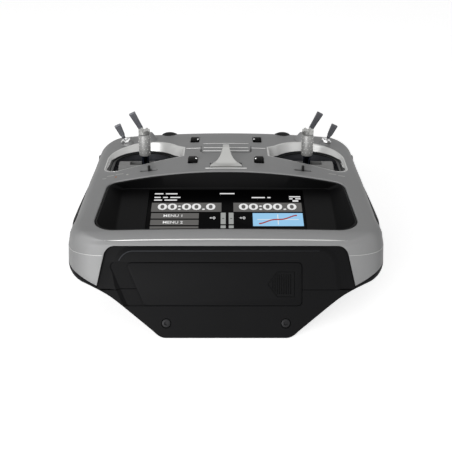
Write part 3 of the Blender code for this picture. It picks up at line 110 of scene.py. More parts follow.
class Recipe:
    """Adds nodes to one node tree."""

    def __init__(self, tree: bpy.types.NodeTree) -> None:
        """Keeps the tree that the nodes go into."""
        self.tree = tree

    def fill(self, node: bpy.types.Node, inputs: Mapping[Union[int, str], Input]) -> None:
        """Links values to a node's sockets, and sets the sockets of constants.

        Args:
            node: The node.
            inputs: Values or constants, by the socket's name or number.
        """
        for key, value in inputs.items():
            if isinstance(value, Value):
                self.tree.links.new(value.socket, node.inputs[key])
            else:
                node.inputs[key].default_value = value

    def node(
        self,
        kind: str,
        settings: Optional[Mapping[str, Any]] = None,
        inputs: Optional[Mapping[Union[int, str], Input]] = None,
        output: Union[int, str] = 0,
    ) -> Value:
        """Adds a node.

        Args:
            kind: The node's type name.
            settings: Properties to set first.
            inputs: Values or links of its sockets, by name or number.
            output: The output to give back.

        Returns:
            The chosen output.
        """
        made = self.tree.nodes.new(kind)
        for key, value in (settings or {}).items():
            setattr(made, key, value)
        self.fill(made, inputs or {})
        return Value(self, made.outputs[output])

    def places(self, stretch: Sequence[float] = (1.0, 1.0, 1.0)) -> Value:
        """Object coordinates, scaled along each axis."""
        coords = self.node("ShaderNodeTexCoord", output="Object")
        return self.node("ShaderNodeMapping", inputs={"Vector": coords, "Scale": stretch})

    def noise(self, coords: Value, scale: float, detail: float = 2.0) -> Value:
        """Smooth noise from 0 to 1 with so many features to the metre."""
        return self.node("ShaderNodeTexNoise", inputs={"Vector": coords, "Scale": scale, "Detail": detail})

    def blend(self, share: Input, first: Input, second: Input) -> Value:
        """A mix of two colours."""
        settings = {"data_type": "RGBA"}
        return self.node("ShaderNodeMix", settings, {0: share, 6: first, 7: second}, output=2)


@dataclass(frozen=True)
class Finish:
    """A finish with drifting colour, uneven gloss and a fine grain.

    The colour drifts between darker and lighter by drift, gloss varies by uneven, and grain is the height of
    the surface texture in metres. The counts are features to the metre, and stretch draws the grain out.
    """

    slot: str
    colour: tuple[float, float, float]
    roughness: float
    metallic: float = 0.0
    drift: float = 0.06
    drift_count: float = 70.0
    fleck: float = 0.0
    fleck_count: float = 5000.0
    uneven: float = 0.05
    grain: float = 0.0
    grain_count: float = 1800.0
    stretch: tuple[float, float, float] = (1.0, 1.0, 1.0)
    coat: float = 0.0
    coat_roughness: float = 0.1
    specular: float = 0.5
    glow: float = 0.0

    def make(self, name: str) -> bpy.types.Material:
        """Builds the material.

        Args:
            name: The material's name.

        Returns:
            The new material.
        """
        material = bpy.data.materials.new(name)
        material.use_nodes = True
        recipe = Recipe(material.node_tree)
        shader = material.node_tree.nodes["Principled BSDF"]
        coords = recipe.places(self.stretch)
        slow = recipe.noise(recipe.places(), self.drift_count, 3.0)
        fine = recipe.noise(coords, self.fleck_count, 1.0)
        share = slow * self.drift + fine * self.fleck
        span = self.drift + self.fleck
        dark = tuple(c * (1.0 - span) for c in self.colour)
        light = tuple(min(1.0, c * (1.0 + span)) for c in self.colour)
        colour = recipe.blend(share * (1.0 / max(span, 1e-6)), (*dark, 1.0), (*light, 1.0))
        rough = recipe.noise(coords, self.grain_count * 0.4, 2.0)
        sockets = {
            "Base Color": (0.0, 0.0, 0.0, 1.0) if self.glow else colour,
            "Roughness": rough * self.uneven + (self.roughness - self.uneven * 0.5),
            "Metallic": self.metallic,
            "Coat Weight": self.coat,
            "Coat Roughness": self.coat_roughness,
            "Specular IOR Level": self.specular,
        }
        if self.glow:
            sockets |= {"Emission Color": colour, "Emission Strength": self.glow}
        if self.grain:
            height = recipe.noise(coords, self.grain_count, 3.0)
            bump = {"Strength": 1.0, "Distance": self.grain, "Height": height}
            sockets["Normal"] = recipe.node("ShaderNodeBump", inputs=bump)
        recipe.fill(shader, sockets)
        return material


class Look(Enum):
    """The transmitter's finishes."""

    SILVER = Finish(
        "silver_paint", (0.27, 0.271, 0.272), 0.50, 0.20, 0.03, fleck=0.06, grain=2e-6, specular=0.25
    )
    # Bright finish of the well rings; on fine beads along edges and creases it is painted highlight.
    RING = Finish("silver_paint", (0.64, 0.64, 0.63), 0.32, 0.4, 0.02, uneven=0.02)
    BLACK = Finish("black_plastic", (0.0047, 0.0047, 0.0051), 0.50, drift=0.10, grain=1.2e-5, specular=0.07)
    # A lighter copy of the black plastic, for a painted highlight on the end panel.
    EDGE = Finish("black_plastic", (0.040, 0.042, 0.047), 0.45, drift=0.08, grain=1e-5, specular=0.20)
    TAB = Finish("black_plastic", (0.006, 0.006, 0.006), 0.40, drift=0.10, grain=6e-6, specular=0.20)
    RUBBER = Finish("black_rubber", (0.010, 0.010, 0.010), 0.74, drift=0.15, grain=4e-5, specular=0.25)
    BEZEL = Finish("bezel_plastic", (0.0040, 0.0040, 0.0042), 0.44, drift=0.10, grain=6e-6, specular=0.06)
    GLASS = Finish("screen_glass", (0.0008, 0.0008, 0.0009), 0.30, drift=0.2, uneven=0.03, specular=0.02)
    STEEL = Finish("bright_steel", (0.38, 0.38, 0.37), 0.30, 1.0, 0.05, stretch=(1.0, 0.05, 1.0), grain=2e-6)
    SCREW = Finish("bright_steel", (0.010, 0.010, 0.011), 0.46, 0.7, 0.08, grain=2e-6)
    CHROME = Finish("bright_steel", (0.62, 0.62, 0.62), 0.14, 1.0, 0.04)
    SHAFT = Finish("bright_steel", (0.045, 0.055, 0.085), 0.16, 1.0, 0.04)
    ALLOY = Finish("stick_alloy", (0.31, 0.31, 0.305), 0.50, 0.5, 0.05, grain=3e-6)
    # A lighter copy of the stick's alloy, for the painted highlight on the knurl's points.
    POINT = Finish("stick_alloy", (0.85, 0.85, 0.84), 0.32, 0.85, 0.04, grain=2e-6)
    LEVER = Finish("lever_grey", (0.088, 0.090, 0.10), 0.42, 0.55, 0.06, grain=4e-6)
    DRUM = Finish("lever_grey", (0.25, 0.25, 0.246), 0.50, 0.2, 0.10, grain=1e-5)
    BOARD = Finish("circuit_board", (0.02, 0.10, 0.05), 0.50, drift=0.2, fleck=0.2, fleck_count=900.0)
    CELL = Finish("cell_wrap", (0.05, 0.09, 0.20), 0.45, drift=0.08, coat=0.3)
    WHITE_INK = Finish("screen_glass", (0.80, 0.80, 0.80), 0.6, drift=0.02, specular=0.0, glow=1.0)
    GREY_INK = Finish("screen_glass", (0.125, 0.122, 0.118), 0.6, drift=0.05, specular=0.0, glow=1.0)
    PALE_INK = Finish("screen_glass", (0.34, 0.35, 0.34), 0.6, drift=0.06, specular=0.0, glow=1.0)
    SKY_INK = Finish("screen_glass", (0.31, 0.58, 0.83), 0.6, drift=0.04, specular=0.0, glow=1.0)
    RED_INK = Finish("screen_glass", (0.36, 0.045, 0.03), 0.6, drift=0.06, specular=0.0, glow=1.0)
    TAG = Finish("lever_grey", (0.30, 0.03, 0.02), 0.45, drift=0.08)
    PRINT = Finish("silver_paint", (0.50, 0.50, 0.48), 0.45, drift=0.05)
    AMBER = Finish("silver_paint", (0.36, 0.14, 0.06), 0.40, drift=0.05)


# Surfaces


class Cap(Enum):
    """How the ends of a skin are closed."""

    FLAT = "flat"
    LADDER = "ladder"


@dataclass
class Surface:
    """Points in space and the faces between them, kept as arrays of point numbers."""

    points: Array
    faces: list[Array]

    def moved(self, place: Array) -> Surface:
        """The surface carried into a frame."""
        return Surface(self.points @ place[:3, :3].T + place[:3, 3], self.faces)

    def outward(self) -> Surface:
        """The surface with its faces turned outwards, told by the sign of its volume.

        Returns:
            The surface, turned where needed.
        """
        middle = self.points - self.points.mean(axis=0)
        volume = 0.0
        for group in self.faces:
            fan = middle[group]
            for k in range(1, group.shape[1] - 1):
                volume += np.einsum("ij,ij->", fan[:, 0], np.cross(fan[:, k], fan[:, k + 1]))
        if volume < 0:
            return Surface(self.points, [group[:, ::-1] for group in self.faces])
        return self

    def mesh(self, name: str) -> bpy.types.Mesh:
        """A Blender mesh of the surface.

        Args:
            name: The mesh's name.

        Returns:
            The new mesh.
        """
        shape = self.outward()
        faces = [face for group in shape.faces for face in group.tolist()]
        made = bpy.data.meshes.new(name)
        made.from_pydata(shape.points.tolist(), [], faces)
        made.validate()
        return made


def skin(rows: Array, cap: Cap = Cap.FLAT, ring: bool = False) -> Surface:
    """Faces between neighbouring points of a grid whose rows are closed loops.

    Args:
        rows: Points, shaped (rows, points in a row, 3).
        cap: How the first and the last row are closed.
        ring: Whether the last row joins the first.

    Returns:
        A closed surface.
    """
    count, width = rows.shape[:2]
    index = np.arange(count * width).reshape(count, width)
    rest = np.roll(index, -1, axis=0) if ring else index[1:]
    start = index if ring else index[:-1]
    quads = np.stack([start, np.roll(start, -1, 1), np.roll(rest, -1, 1), rest], axis=-1).reshape(-1, 4)
    faces = [quads]
    if not ring and cap is Cap.FLAT:
        faces += [index[:1, ::-1], index[-1:]]
    if not ring and cap is Cap.LADDER:
        faces += ladder(index[0, ::-1]) + ladder(index[-1])
    return Surface(rows.reshape(-1, 3), faces)


def ladder(row: Array) -> list[Array]:
    """Closes a loop that is alike on both sides of the middle plane with rungs across it.

    Args:
        row: Point numbers round the loop.

    Returns:
        Groups of faces.
    """
    row = np.roll(row, -int(np.argmin(row)) if row[0] < row[-1] else 1)
    half = len(row) // 2
    k = np.arange(2, half)
    rungs = np.stack([row[k - 1], row[k], row[-k], row[1 - k]], axis=-1)
    ends = np.array([[row[0], row[1], row[-1]], [row[half - 1], row[half], row[half + 1]]])
    return [rungs, ends]


def slab(outline: Array, low: float, high: float, edge: float = 0.0, steps: int = 3) -> Surface:
    """A plate whose outline draws in along a quarter circle at its lower and upper edges.

    Args:
        outline: Flat points.
        low, high: Its two heights.
        edge: Radius of its edges.
        steps: Steps in each quarter circle.

    Returns:
        A closed surface.
    """
    if not edge:
        amounts, heights = np.zeros(2), np.array([low, high])
    else:
        turn = np.linspace(0.0, np.pi / 2, steps + 1)
        pull, rise = edge * (np.sin(turn) - 1.0), edge * (1.0 - np.cos(turn))
        amounts = np.concatenate([pull, pull[::-1]])
        heights = np.concatenate([low + rise, high - rise[::-1]])
    return stack(outline, amounts, heights)


def stack(
    outline: Array, amounts: Sequence[float], heights: Sequence[float], ring: bool = False
) -> Surface:
    """Copies of an outline, each grown by an amount and set at a height, with faces between them."""
    return skin(at_heights(offset(outline, amounts), heights), ring=ring)


def bead(path: Array, radius: Union[float, Array], sides: int = 8) -> Surface:
    """A round bead: at each point of a path, an upright circle across its run in X and Y.

    Args:
        path: Points, shaped (n, 3).
        radius: One radius, or one to each point.
        sides: Points round the bead.

    Returns:
        A closed surface.
    """
    ahead = np.gradient(path[:, :2], axis=0)
    ahead = ahead / np.linalg.norm(ahead, axis=1, keepdims=True)
    aside = grid(-ahead[:, 1], ahead[:, 0])
    angle = np.arange(sides) * (2 * np.pi / sides)
    across, rise = (np.asarray(radius)[..., None] * part for part in (np.cos(angle), np.sin(angle)))
    x, y, z = path.T[..., None]
    return skin(grid(x + across * aside[:, :1], y + across * aside[:, 1:], z + rise))


def turned(profile: Sequence[tuple[float, float]], steps: int = 40, ring: bool = False) -> Surface:
    """A profile of (radius, height) carried round the Z axis: (r cos a, r sin a, z).

    Args:
        profile: Points (radius, height).
        steps: Points round the axis.
        ring: Whether the profile closes on itself.

    Returns:
        A closed surface.
    """
    line = np.asarray(profile, float)
    angle = np.arange(steps) * (2 * np.pi / steps)
    round_line = grid(np.cos(angle), np.sin(angle))
    return skin(at_heights(line[:, None, :1] * round_line[None], line[:, 1]), ring=ring)


def rod(radius: float, low: float, high: float, steps: int = 24) -> Surface:
    """A cylinder about the Z axis."""
    return turned([(radius, low), (radius, high)], steps)


def block(size: Sequence[float], centre: Sequence[float], edge: float = 0.0) -> Surface:
    """A box with rounded edges about a centre.

    Args:
        size: Length along each axis.
        centre: Its middle.
        edge: Radius of its edges.

    Returns:
        A closed surface.
    """
    half = np.asarray(size, float) / 2
    outline = rounded_box(half[0], half[1], max(edge, 1e-5), 3)
    shape = slab(outline, -half[2], half[2], edge)
    return shape.moved(shift(*centre))


def joined(parts: Sequence[Surface]) -> Surface:
    """Several surfaces as one, each with its faces turned outwards.

    Args:
        parts: The surfaces.

    Returns:
        One surface of them all.
    """
    parts = [part.outward() for part in parts]
    starts = np.cumsum([0] + [len(part.points) for part in parts])
    faces = [group + start for part, start in zip(parts, starts) for group in part.faces]
    return Surface(np.concatenate([part.points for part in parts]), faces)


def arc(centre: Sequence[float], radius: float, start: float, end: float, count: int) -> Array:
    """Points (cx + r cos a, cy + r sin a) for angles in degrees from start to end."""
    angle = np.radians(np.linspace(start, end, count))
    return grid(centre[0] + radius * np.cos(angle), centre[1] + radius * np.sin(angle))


def rounded_box(half_x: float, half_y: float, radius: float, count: int = 6) -> Array:
    """Outline of a rectangle about its centre, with a quarter circle at each corner.

    Args:
        half_x, half_y: Half its sides.
        radius: The corners' radius.
        count: Points in each corner.

    Returns:
        Points, shaped (4 * count, 2).
    """
    x, y = half_x - radius, half_y - radius
    corners = ((x, y, 0), (-x, y, 90), (-x, -y, 180), (x, -y, 270))
    return np.concatenate([arc((cx, cy), radius, a, a + 90, count) for cx, cy, a in corners])


def round_corner(before: Array, corner: Array, after: Array, radius: float, count: int = 6) -> Array:
    """Points of an arc that touches both edges of a corner, found by turning one radius towards the other.

    Args:
        before: Point before the corner.
        corner: The corner.
        after: Point after it.
        radius: The arc's radius.
        count: Points wanted.

    Returns:
        Points, shaped (n, 2).
    """
    first = (before - corner) / np.linalg.norm(before - corner)
    second = (after - corner) / np.linalg.norm(after - corner)
    half = np.arccos(np.clip(first @ second, -1.0, 1.0)) / 2
    middle = (first + second) / np.linalg.norm(first + second)
    centre = corner + middle * (radius / np.sin(half))
    start = corner + first * (radius / np.tan(half)) - centre
    end = corner + second * (radius / np.tan(half)) - centre
    sweep = np.pi - 2 * half
    share = np.linspace(0.0, 1.0, count)[:, None]
    return centre + (np.sin((1 - share) * sweep) * start + np.sin(share * sweep) * end) / np.sin(sweep)


def offset(outline: Array, amounts: Sequence[float]) -> Array:
    """Moves each point of a closed outline along the mitre of its two edges.

    Args:
        outline: Points, shaped (n, 2).
        amounts: How far outwards, one number for each row wanted.

    Returns:
        Rows of points, shaped (rows, n, 2).
    """
    ahead = np.roll(outline, -1, axis=0) - outline
    ahead = ahead / np.maximum(np.linalg.norm(ahead, axis=1, keepdims=True), 1e-12)
    right = grid(ahead[:, 1], -ahead[:, 0])
    normal = right + np.roll(right, 1, axis=0)
    normal = normal / np.linalg.norm(normal, axis=1, keepdims=True)
    reach = 1.0 / np.maximum(0.4, np.einsum("ij,ij->i", normal, right))
    x, y = outline.T
    area = np.sum(x * np.roll(y, -1) - np.roll(x, -1) * y)
    return outline + np.asarray(amounts)[:, None, None] * (np.sign(area) * normal * reach[:, None])


def grid(*parts: Union[float, Array]) -> Array:
    """Puts coordinates together as points, and repeats a lone number or row as often as the others need."""
    return np.stack(np.broadcast_arrays(*parts), axis=-1)


def at_heights(rows: Array, heights: Sequence[float]) -> Array:
    """Gives each row of flat points (x, y) a height of its own."""
    return grid(rows[..., 0], rows[..., 1], np.asarray(heights)[:, None])


def between(start: Array, end: Array, count: int) -> Array:
    """So many points at even steps along a straight line, less the first one."""
    return start + (end - start) * np.linspace(0.0, 1.0, count)[1:, None]


def both_sides(right: Array, shared: bool) -> Array:
    """An outline and its mirror image across x = 0, less the end points that the sides share."""
    left = right[-2:0:-1] if shared else right[::-1]
    return np.concatenate([right, left * MIRROR])


def six_sided(angle: Array) -> Array:
    """Radius of a hexagon whose corners are 1 from its centre: cos 30 over the cosine within each sixth."""
    return 0.866 / np.cos((angle + np.pi / 6) % (np.pi / 3) - np.pi / 6)


def finer(outline: Array, parts: int) -> Array:
    """Divides each edge of a closed outline into equal parts."""
    ahead = np.roll(outline, -1, axis=0) - outline
    return (outline[:, None] + ahead[:, None] * (np.arange(parts)[:, None] / parts)).reshape(-1, 2)


def axes(origin: Sequence[float], x_axis: Sequence[float], y_axis: Sequence[float]) -> Array:
    """The matrix of a frame with that origin and those two axes, with Z square to both.

    Args:
        origin: The frame's place.
        x_axis: Its X axis.
        y_axis: Its Y axis.

    Returns:
        A matrix, shaped (4, 4).
    """
    x = np.asarray(x_axis, float) / np.linalg.norm(x_axis)
    y = np.asarray(y_axis, float) / np.linalg.norm(y_axis)
    place = np.eye(4)
    place[:3, 0], place[:3, 1], place[:3, 2], place[:3, 3] = x, y, np.cross(x, y), origin
    return place


def turned_frame(origin: Sequence[float], angle: float) -> Array:
    """The matrix of a frame that is turned about its Z axis."""
    return axes(origin, (math.cos(angle), math.sin(angle), 0), (-math.sin(angle), math.cos(angle), 0))


def shift(x: float, y: float, z: float = 0.0) -> Array:
    """The matrix of a frame with its axes along the case's."""
    return axes((x, y, z), (1, 0, 0), (0, 1, 0))


FRONT_VIEW = axes((0, 0, 0), (1, 0, 0), (0, 0, 1))


class Cut(Enum):
    """What a shape does to the one that it meets."""

    AWAY = "DIFFERENCE"
    KEEP = "INTERSECT"


Shape = Union[Surface, bpy.types.Mesh]


class Workshop:
    """Makes pieces of the transmitter, dresses them and sets them on their bodies."""

    def __init__(self, nodes: Mapping[str, bpy.types.Object]) -> None:
        """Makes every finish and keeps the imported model's nodes."""
        self.nodes = nodes
        self.materials = {look: look.value.make(look.name.lower()) for look in Look}

    def loose(self, name: str, shape: Shape) -> bpy.types.Object:
        """An object of a shape, linked to the scene but set on nothing.

        Args:
            name: The object's name.
            shape: Its surface or mesh.

        Returns:
            The new object.
        """
        mesh = shape.mesh(name) if isinstance(shape, Surface) else shape
        obj = bpy.data.objects.new(name, mesh)
        bpy.context.scene.collection.objects.link(obj)
        return obj

    def carve(self, name: str, base: Shape, steps: Sequence[tuple[Cut, Shape]]) -> bpy.types.Mesh:
        """Cuts a shape by others, one after the other.

        Args:
            name: The new mesh's name.
            base: The shape to cut.
            steps: What each further shape does to it.

        Returns:
            The finished mesh.
        """
        body = self.loose(name, base)
        tools = []
        for count, (cut, shape) in enumerate(steps):
            tool = self.loose(f"{name}_tool_{count}", shape)
            modifier = body.modifiers.new(f"step_{count}", "BOOLEAN")
            modifier.operation = cut.value
            modifier.solver = "EXACT"
            modifier.object = tool
            tools.append(tool)
        graph = bpy.context.evaluated_depsgraph_get()
        made = bpy.data.meshes.new_from_object(body.evaluated_get(graph))
        made.name = name
        for obj in (body, *tools):
            bpy.data.objects.remove(obj, do_unlink=True)
        return made

    def add(
        self,
        name: str,
        shape: Shape,
        look: Look,
        body: str = "case",
        nodes: Sequence[str] = (),
        angle: float = 32.0,
    ) -> None:
        """Adds a finished piece.

        Args:
            name: The piece's name.
            shape: Its surface or mesh.
            look: Its finish.
            body: The body that it moves with.
            nodes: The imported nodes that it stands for.
            angle: Edges sharper than this, in degrees, stay sharp.
        """
        obj = self.loose(name, shape)
        obj.data.materials.clear()
        obj.data.materials.append(self.materials[look])
        obj.data.shade_smooth()
        obj.data.set_sharp_from_angle(angle=math.radians(angle))
        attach(obj, body)
        if nodes:
            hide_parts(*nodes)
        LOG.info("%s on %s: %d faces", name, body, len(obj.data.polygons))

    def dress(self, node: str, look: Look) -> None:
        """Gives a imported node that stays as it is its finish.

        Args:
            node: The node's name.
            look: Its finish.
        """
        obj = self.nodes[node]
        obj.data.materials.clear()
        obj.data.materials.append(self.materials[look])
        LOG.info("%s keeps its own shape", node)

    def letters(self, name: str, text: str, height: float, thick: float, bold: float) -> Surface:
        """Lettering as a closed surface that lies in the XY plane, centred on the origin.

        Args:
            name: Name of the lettering.
            text: The characters.
            height: Height of a capital letter.
            thick: Thickness of the letters.
            bold: How far their outlines are spread.

        Returns:
            The surface, with its caps joined to its sides.
        """
        curve = bpy.data.curves.new(name, "FONT")
        curve.body = text
        curve.align_x = "CENTER"
        curve.align_y = "CENTER"
        curve.size = height / CAPITAL_SHARE
        curve.extrude = thick / 2
        curve.offset = bold
        curve.resolution_u = 3
        guide = bpy.data.objects.new(name, curve)
        bpy.context.scene.collection.objects.link(guide)
        mesh = bpy.data.meshes.new_from_object(guide.evaluated_get(bpy.context.evaluated_depsgraph_get()))
        bpy.data.objects.remove(guide, do_unlink=True)
        points = np.empty(len(mesh.vertices) * 3, np.float32)
        mesh.vertices.foreach_get("co", points)
        whole = np.round(points.reshape(-1, 3).astype(float), 7)
        unique, back = np.unique(whole, axis=0, return_inverse=True)
        faces = [back[np.array(face.vertices)].reshape(1, -1) for face in mesh.polygons]
        bpy.data.meshes.remove(mesh)
        return Surface(unique, faces)


@dataclass(frozen=True)
class Assembly:
    """A sub-assembly and the workshop that makes its pieces."""

    shop: Workshop

    def build(self) -> None:
        """Builds its pieces."""
        raise NotImplementedError


@dataclass(frozen=True)
class Control(Assembly):
    """A control that stands on the left, where side is -1, or on the right, where it is 1."""

    name: str
    side: float

    def frame(self) -> Array:
        """The control's own frame."""
        raise NotImplementedError

    def put(
        self, piece: str, shape: Surface, look: Look, node: str = "", body: str = "", angle: float = 32.0
    ) -> None:
        """Adds a piece in the control's frame; the control's name goes before the other names.

        Args:
            piece: The piece's name.
            shape: Its surface.
            look: Its finish.
            node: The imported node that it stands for, if any.
            body: The body that it moves with, if not the case.
            angle: Edges sharper than this, in degrees, stay sharp.
        """
        nodes = [f"{self.name}_{node}"] if node else []
        rides = f"{self.name}_{body}" if body else "case"
        self.shop.add(f"{self.name}_{piece}", shape.moved(self.frame()), look, rides, nodes, angle)


# The case


@dataclass(frozen=True)
class CaseForm:
    """The outer form of the case: half sections along Y, carried round both sides.

    A section runs from the middle of the face over the round top edge, down the side, round the wing and in
    to the flat rear. Heights and widths are knots along Y, eased over a short window so that no kink shows.
    """

    near_y: float = -0.0615
    far_y: float = 0.0910
    near_corner: float = 0.0180
    far_corner: float = 0.0240
    neck_y: float = -0.0430
    cheek_end_y: float = -0.0350
    half_near: float = 0.0938
    half_middle: float = 0.0914
    half_far: float = 0.0898
    top_edge: float = 0.0072
    lip_round: float = 0.0100
    lip_break: float = 42.0
    rear_fillet: float = 0.0026
    far_fillet: float = 0.0065
    end_tilt: float = math.radians(23.8)
    end_top: float = 0.0497
    rear_half: float = 0.0386
    rear_edge: float = 0.0036
    wing_inner: float = 0.0660
    wing_z: float = 0.0277
    wing_drop: float = 0.0062
    floor_bow: float = 0.00002
    floor_reach: float = 0.0400
    knee_outer: float = 0.45
    knee_inner: float = 0.30
    wing_edge: float = 0.0080
    wing_turn: float = 73.0
    rear_rise_y: float = 0.0500
    rear_rise: float = 0.0200
    crease_z: float = 0.0446
    crease_lean: float = 0.18
    crease_soft: float = 0.0002
    crease_rise: float = 0.0075
    cheek_x: float = 0.0700
    cheek_blend: float = 0.0120
    lean_end_y: float = 0.0200
    break_angle: float = 14.0
    wall: float = 0.0025
    ring_points: int = 150
    crease_column: int = 40
    lip_end: float = 80.0
    end_level: float = -0.0010
    crown_x: float = 0.0740
    top_y: tuple[float, ...] = (-0.0615, -0.0540, 0.0080, 0.0200, 0.0830, 0.0910)
    top_z: tuple[float, ...] = (0.0570, 0.05746, 0.0685, 0.0692, 0.0700, 0.0688)
    crown_y: tuple[float, ...] = (-0.0540, 0.0080, 0.0440, 0.0830)
    crown_fall: tuple[float, ...] = (0.0010, 0.0055, 0.0050, 0.0030)
    hollow_y: tuple[float, ...] = (
        *(-0.0575, -0.0525, -0.0485, -0.0430, -0.0350, -0.0180),
        *(0.0080, 0.0200, 0.0440, 0.0580, 0.0700, 0.0845, 0.0875),
    )

    def eased(
        self, y: Array, places: Sequence[float], heights: Sequence[float], reach: float = 0.004
    ) -> Array:
        """Knots joined by straight lines, averaged over a window of y - reach to y + reach."""
        window = np.linspace(-reach, reach, 9)
        return np.interp(np.asarray(y, float)[..., None] + window, places, heights).mean(axis=-1)

    def top(self, y: Array) -> Array:
        """Height of the face along the middle."""
        return self.eased(y, self.top_y, self.top_z)

    def crown(self, y: Array) -> Array:
        """How far the face falls away at crown_x from the middle."""
        return self.eased(y, self.crown_y, self.crown_fall)

    def face(self, x: Array, y: Array) -> Array:
        """Height of the face: the middle's height less a fall that grows with the square of x."""
        return self.top(y) - self.crown(y) * (np.asarray(x) / self.crown_x) ** 2

    def height(self, x: float, y: float) -> float:
        """Height of the face at one place."""
        return float(self.face(x, y))

    def width(self, y: Array) -> Array:
        """Half the width at the side walls, less a quarter circle at each of the four corners.

        Args:
            y: Places along Y.

        Returns:
            Half widths, shaped as y.
        """
        places = (self.neck_y, self.cheek_end_y, self.far_y - self.far_corner)
        wide = self.eased(y, places, (self.half_near, self.half_middle, self.half_far), 0.002)
        for corner, into in (
            (self.near_corner, self.near_y + self.near_corner - y),
            (self.far_corner, y - self.far_y + self.far_corner),
        ):
            into = np.clip(into, 0.0, corner)
            wide = wide - (corner - np.sqrt(corner**2 - into**2))
        return wide

    def rear(self, y: Array) -> Array:
        """Height of the rear face, which turns up towards the far end along a smooth step."""
        share = np.clip((y - self.rear_rise_y) / (self.far_y - self.rear_rise_y), 0.0, 1.0)
        return self.rear_rise * share * share * (3 - 2 * share)

    def bent(self, start: Array, corner: Array, end: Array, share: Array) -> Array:
        """A parabola from one number to another that is drawn towards a third."""
        return (1 - share) ** 2 * start + 2 * share * (1 - share) * corner + share**2 * end

    def sections(self, y: Array, face_inset: Array, rear_inset: Array) -> Array:
        """Half sections at places along Y, drawn in by one amount at the face and another at the rear.

        The face moves along its own normal, rounds keep their centres and lose that much radius, and the
        straight lines below move square to themselves.

        Args:
            y: Places, shaped (m,).
            face_inset: How far each section is drawn in at its face and side.
            rear_inset: How far each is drawn in at its wing and rear.

        Returns:
            Points (x, z) from the middle of the face to the middle of the rear, shaped (m, n, 2).
        """
        y, d, e = (np.asarray(part, float)[:, None] for part in (y, face_inset, rear_inset))
        wide = self.width(y)
        radius = self.top_edge
        first = np.pi / 2 - np.arctan(2 * self.crown(y) * wide / self.crown_x**2)
        last = np.radians(self.break_angle)
        middle_x = wide - radius * np.cos(last)
        flat = middle_x + radius * np.cos(first)
        middle_z = self.face(flat, y) - radius * np.sin(first)
        across = flat * np.linspace(0.0, 1.0, 27)[None, :-1]
        lean = np.arctan(2 * self.crown(y) * across / self.crown_x**2)
        turn = first + (last - first) * np.linspace(0.0, 1.0, 10)
        low = self.rear(y)
        wing = np.maximum(self.wing_z, low)
        side_x = wide - d * np.cos(last)
        side_top = middle_z + (radius - d) * np.sin(last)
        side_low = wing + self.wing_edge
        down = np.linspace(0.0, 1.0, 5)[None]
        crease = self.crease_z + self.crease_soft, self.crease_z - self.crease_soft
        under = np.radians(np.linspace(0.0, -self.wing_turn, 8))[None]
        wing_radius = self.wing_edge - d - (e - d) * np.linspace(0.0, 1.0, 8)[None]
        inner = wing - np.minimum(self.wing_drop, (wing - low) / 2)
        turn_z = low + np.minimum(self.rear_edge, (inner - low) / 2)
        wing_start = wide - self.wing_edge
        hip, heel = self.rear_half + self.rear_edge, self.rear_half - self.rear_edge
        knee = np.minimum(self.wing_inner, wing_start - self.rear_edge)
        run = np.hypot(hip - knee, turn_z - inner)
        out_x, out_z = (turn_z - inner) / run, (knee - hip) / run
        knee_in = knee + e * (out_x + (1.0 - out_z) * (hip - knee) / (turn_z - inner))
        hip_x, hip_z = hip + out_x * e, turn_z + out_z * e
        edge_x = wing_start + (self.wing_edge - e) * np.cos(under[:, -1:])
        edge_z = side_low + (self.wing_edge - e) * np.sin(under[:, -1:])
        knee_z = inner + e
        out, back = self.knee_outer, self.knee_inner
        out_knee = (knee_in + (edge_x - knee_in) * out, knee_z + (edge_z - knee_z) * out)
        in_knee = (knee_in + (hip_x - knee_in) * back, knee_z + (hip_z - knee_z) * back)
        share = np.linspace(0.0, 1.0, 9)[None, 1:]
        slope_share = np.linspace(0.0, 1.0, 7)[None, 1:-1]
        bend = np.linspace(0.0, 1.0, 6)[None]
        rest = np.linspace(1.0, 0.0, 6)[None, 1:]
        xs = [
            across - d * np.sin(lean),
            middle_x + (radius - d) * np.cos(turn),
            np.broadcast_to(side_x, (len(y), 8)),
            wing_start + wing_radius * np.cos(under),
            self.bent(out_knee[0], knee_in, in_knee[0], share),
            in_knee[0] + (hip_x - in_knee[0]) * slope_share,
            self.bent(hip_x, self.rear_half + out_x * e, heel, bend),
            np.broadcast_to(heel * rest, (len(y), 5)),
        ]
        zs = [
            self.face(across, y) - d * np.cos(lean),
            middle_z + (radius - d) * np.sin(turn),
            side_top + (crease[0] - side_top) * down[:, 1:],
            crease[1] + (side_low - crease[1]) * down[:, :-1],
            side_low + wing_radius * np.sin(under),
            self.bent(out_knee[1], knee_z, in_knee[1], share),
            in_knee[1] + (hip_z - in_knee[1]) * slope_share,
            self.bent(hip_z, low + e, low + e, bend),
            np.broadcast_to(low + e, (len(y), 5)),
        ]
        return grid(np.concatenate(xs, axis=1), np.concatenate(zs, axis=1))

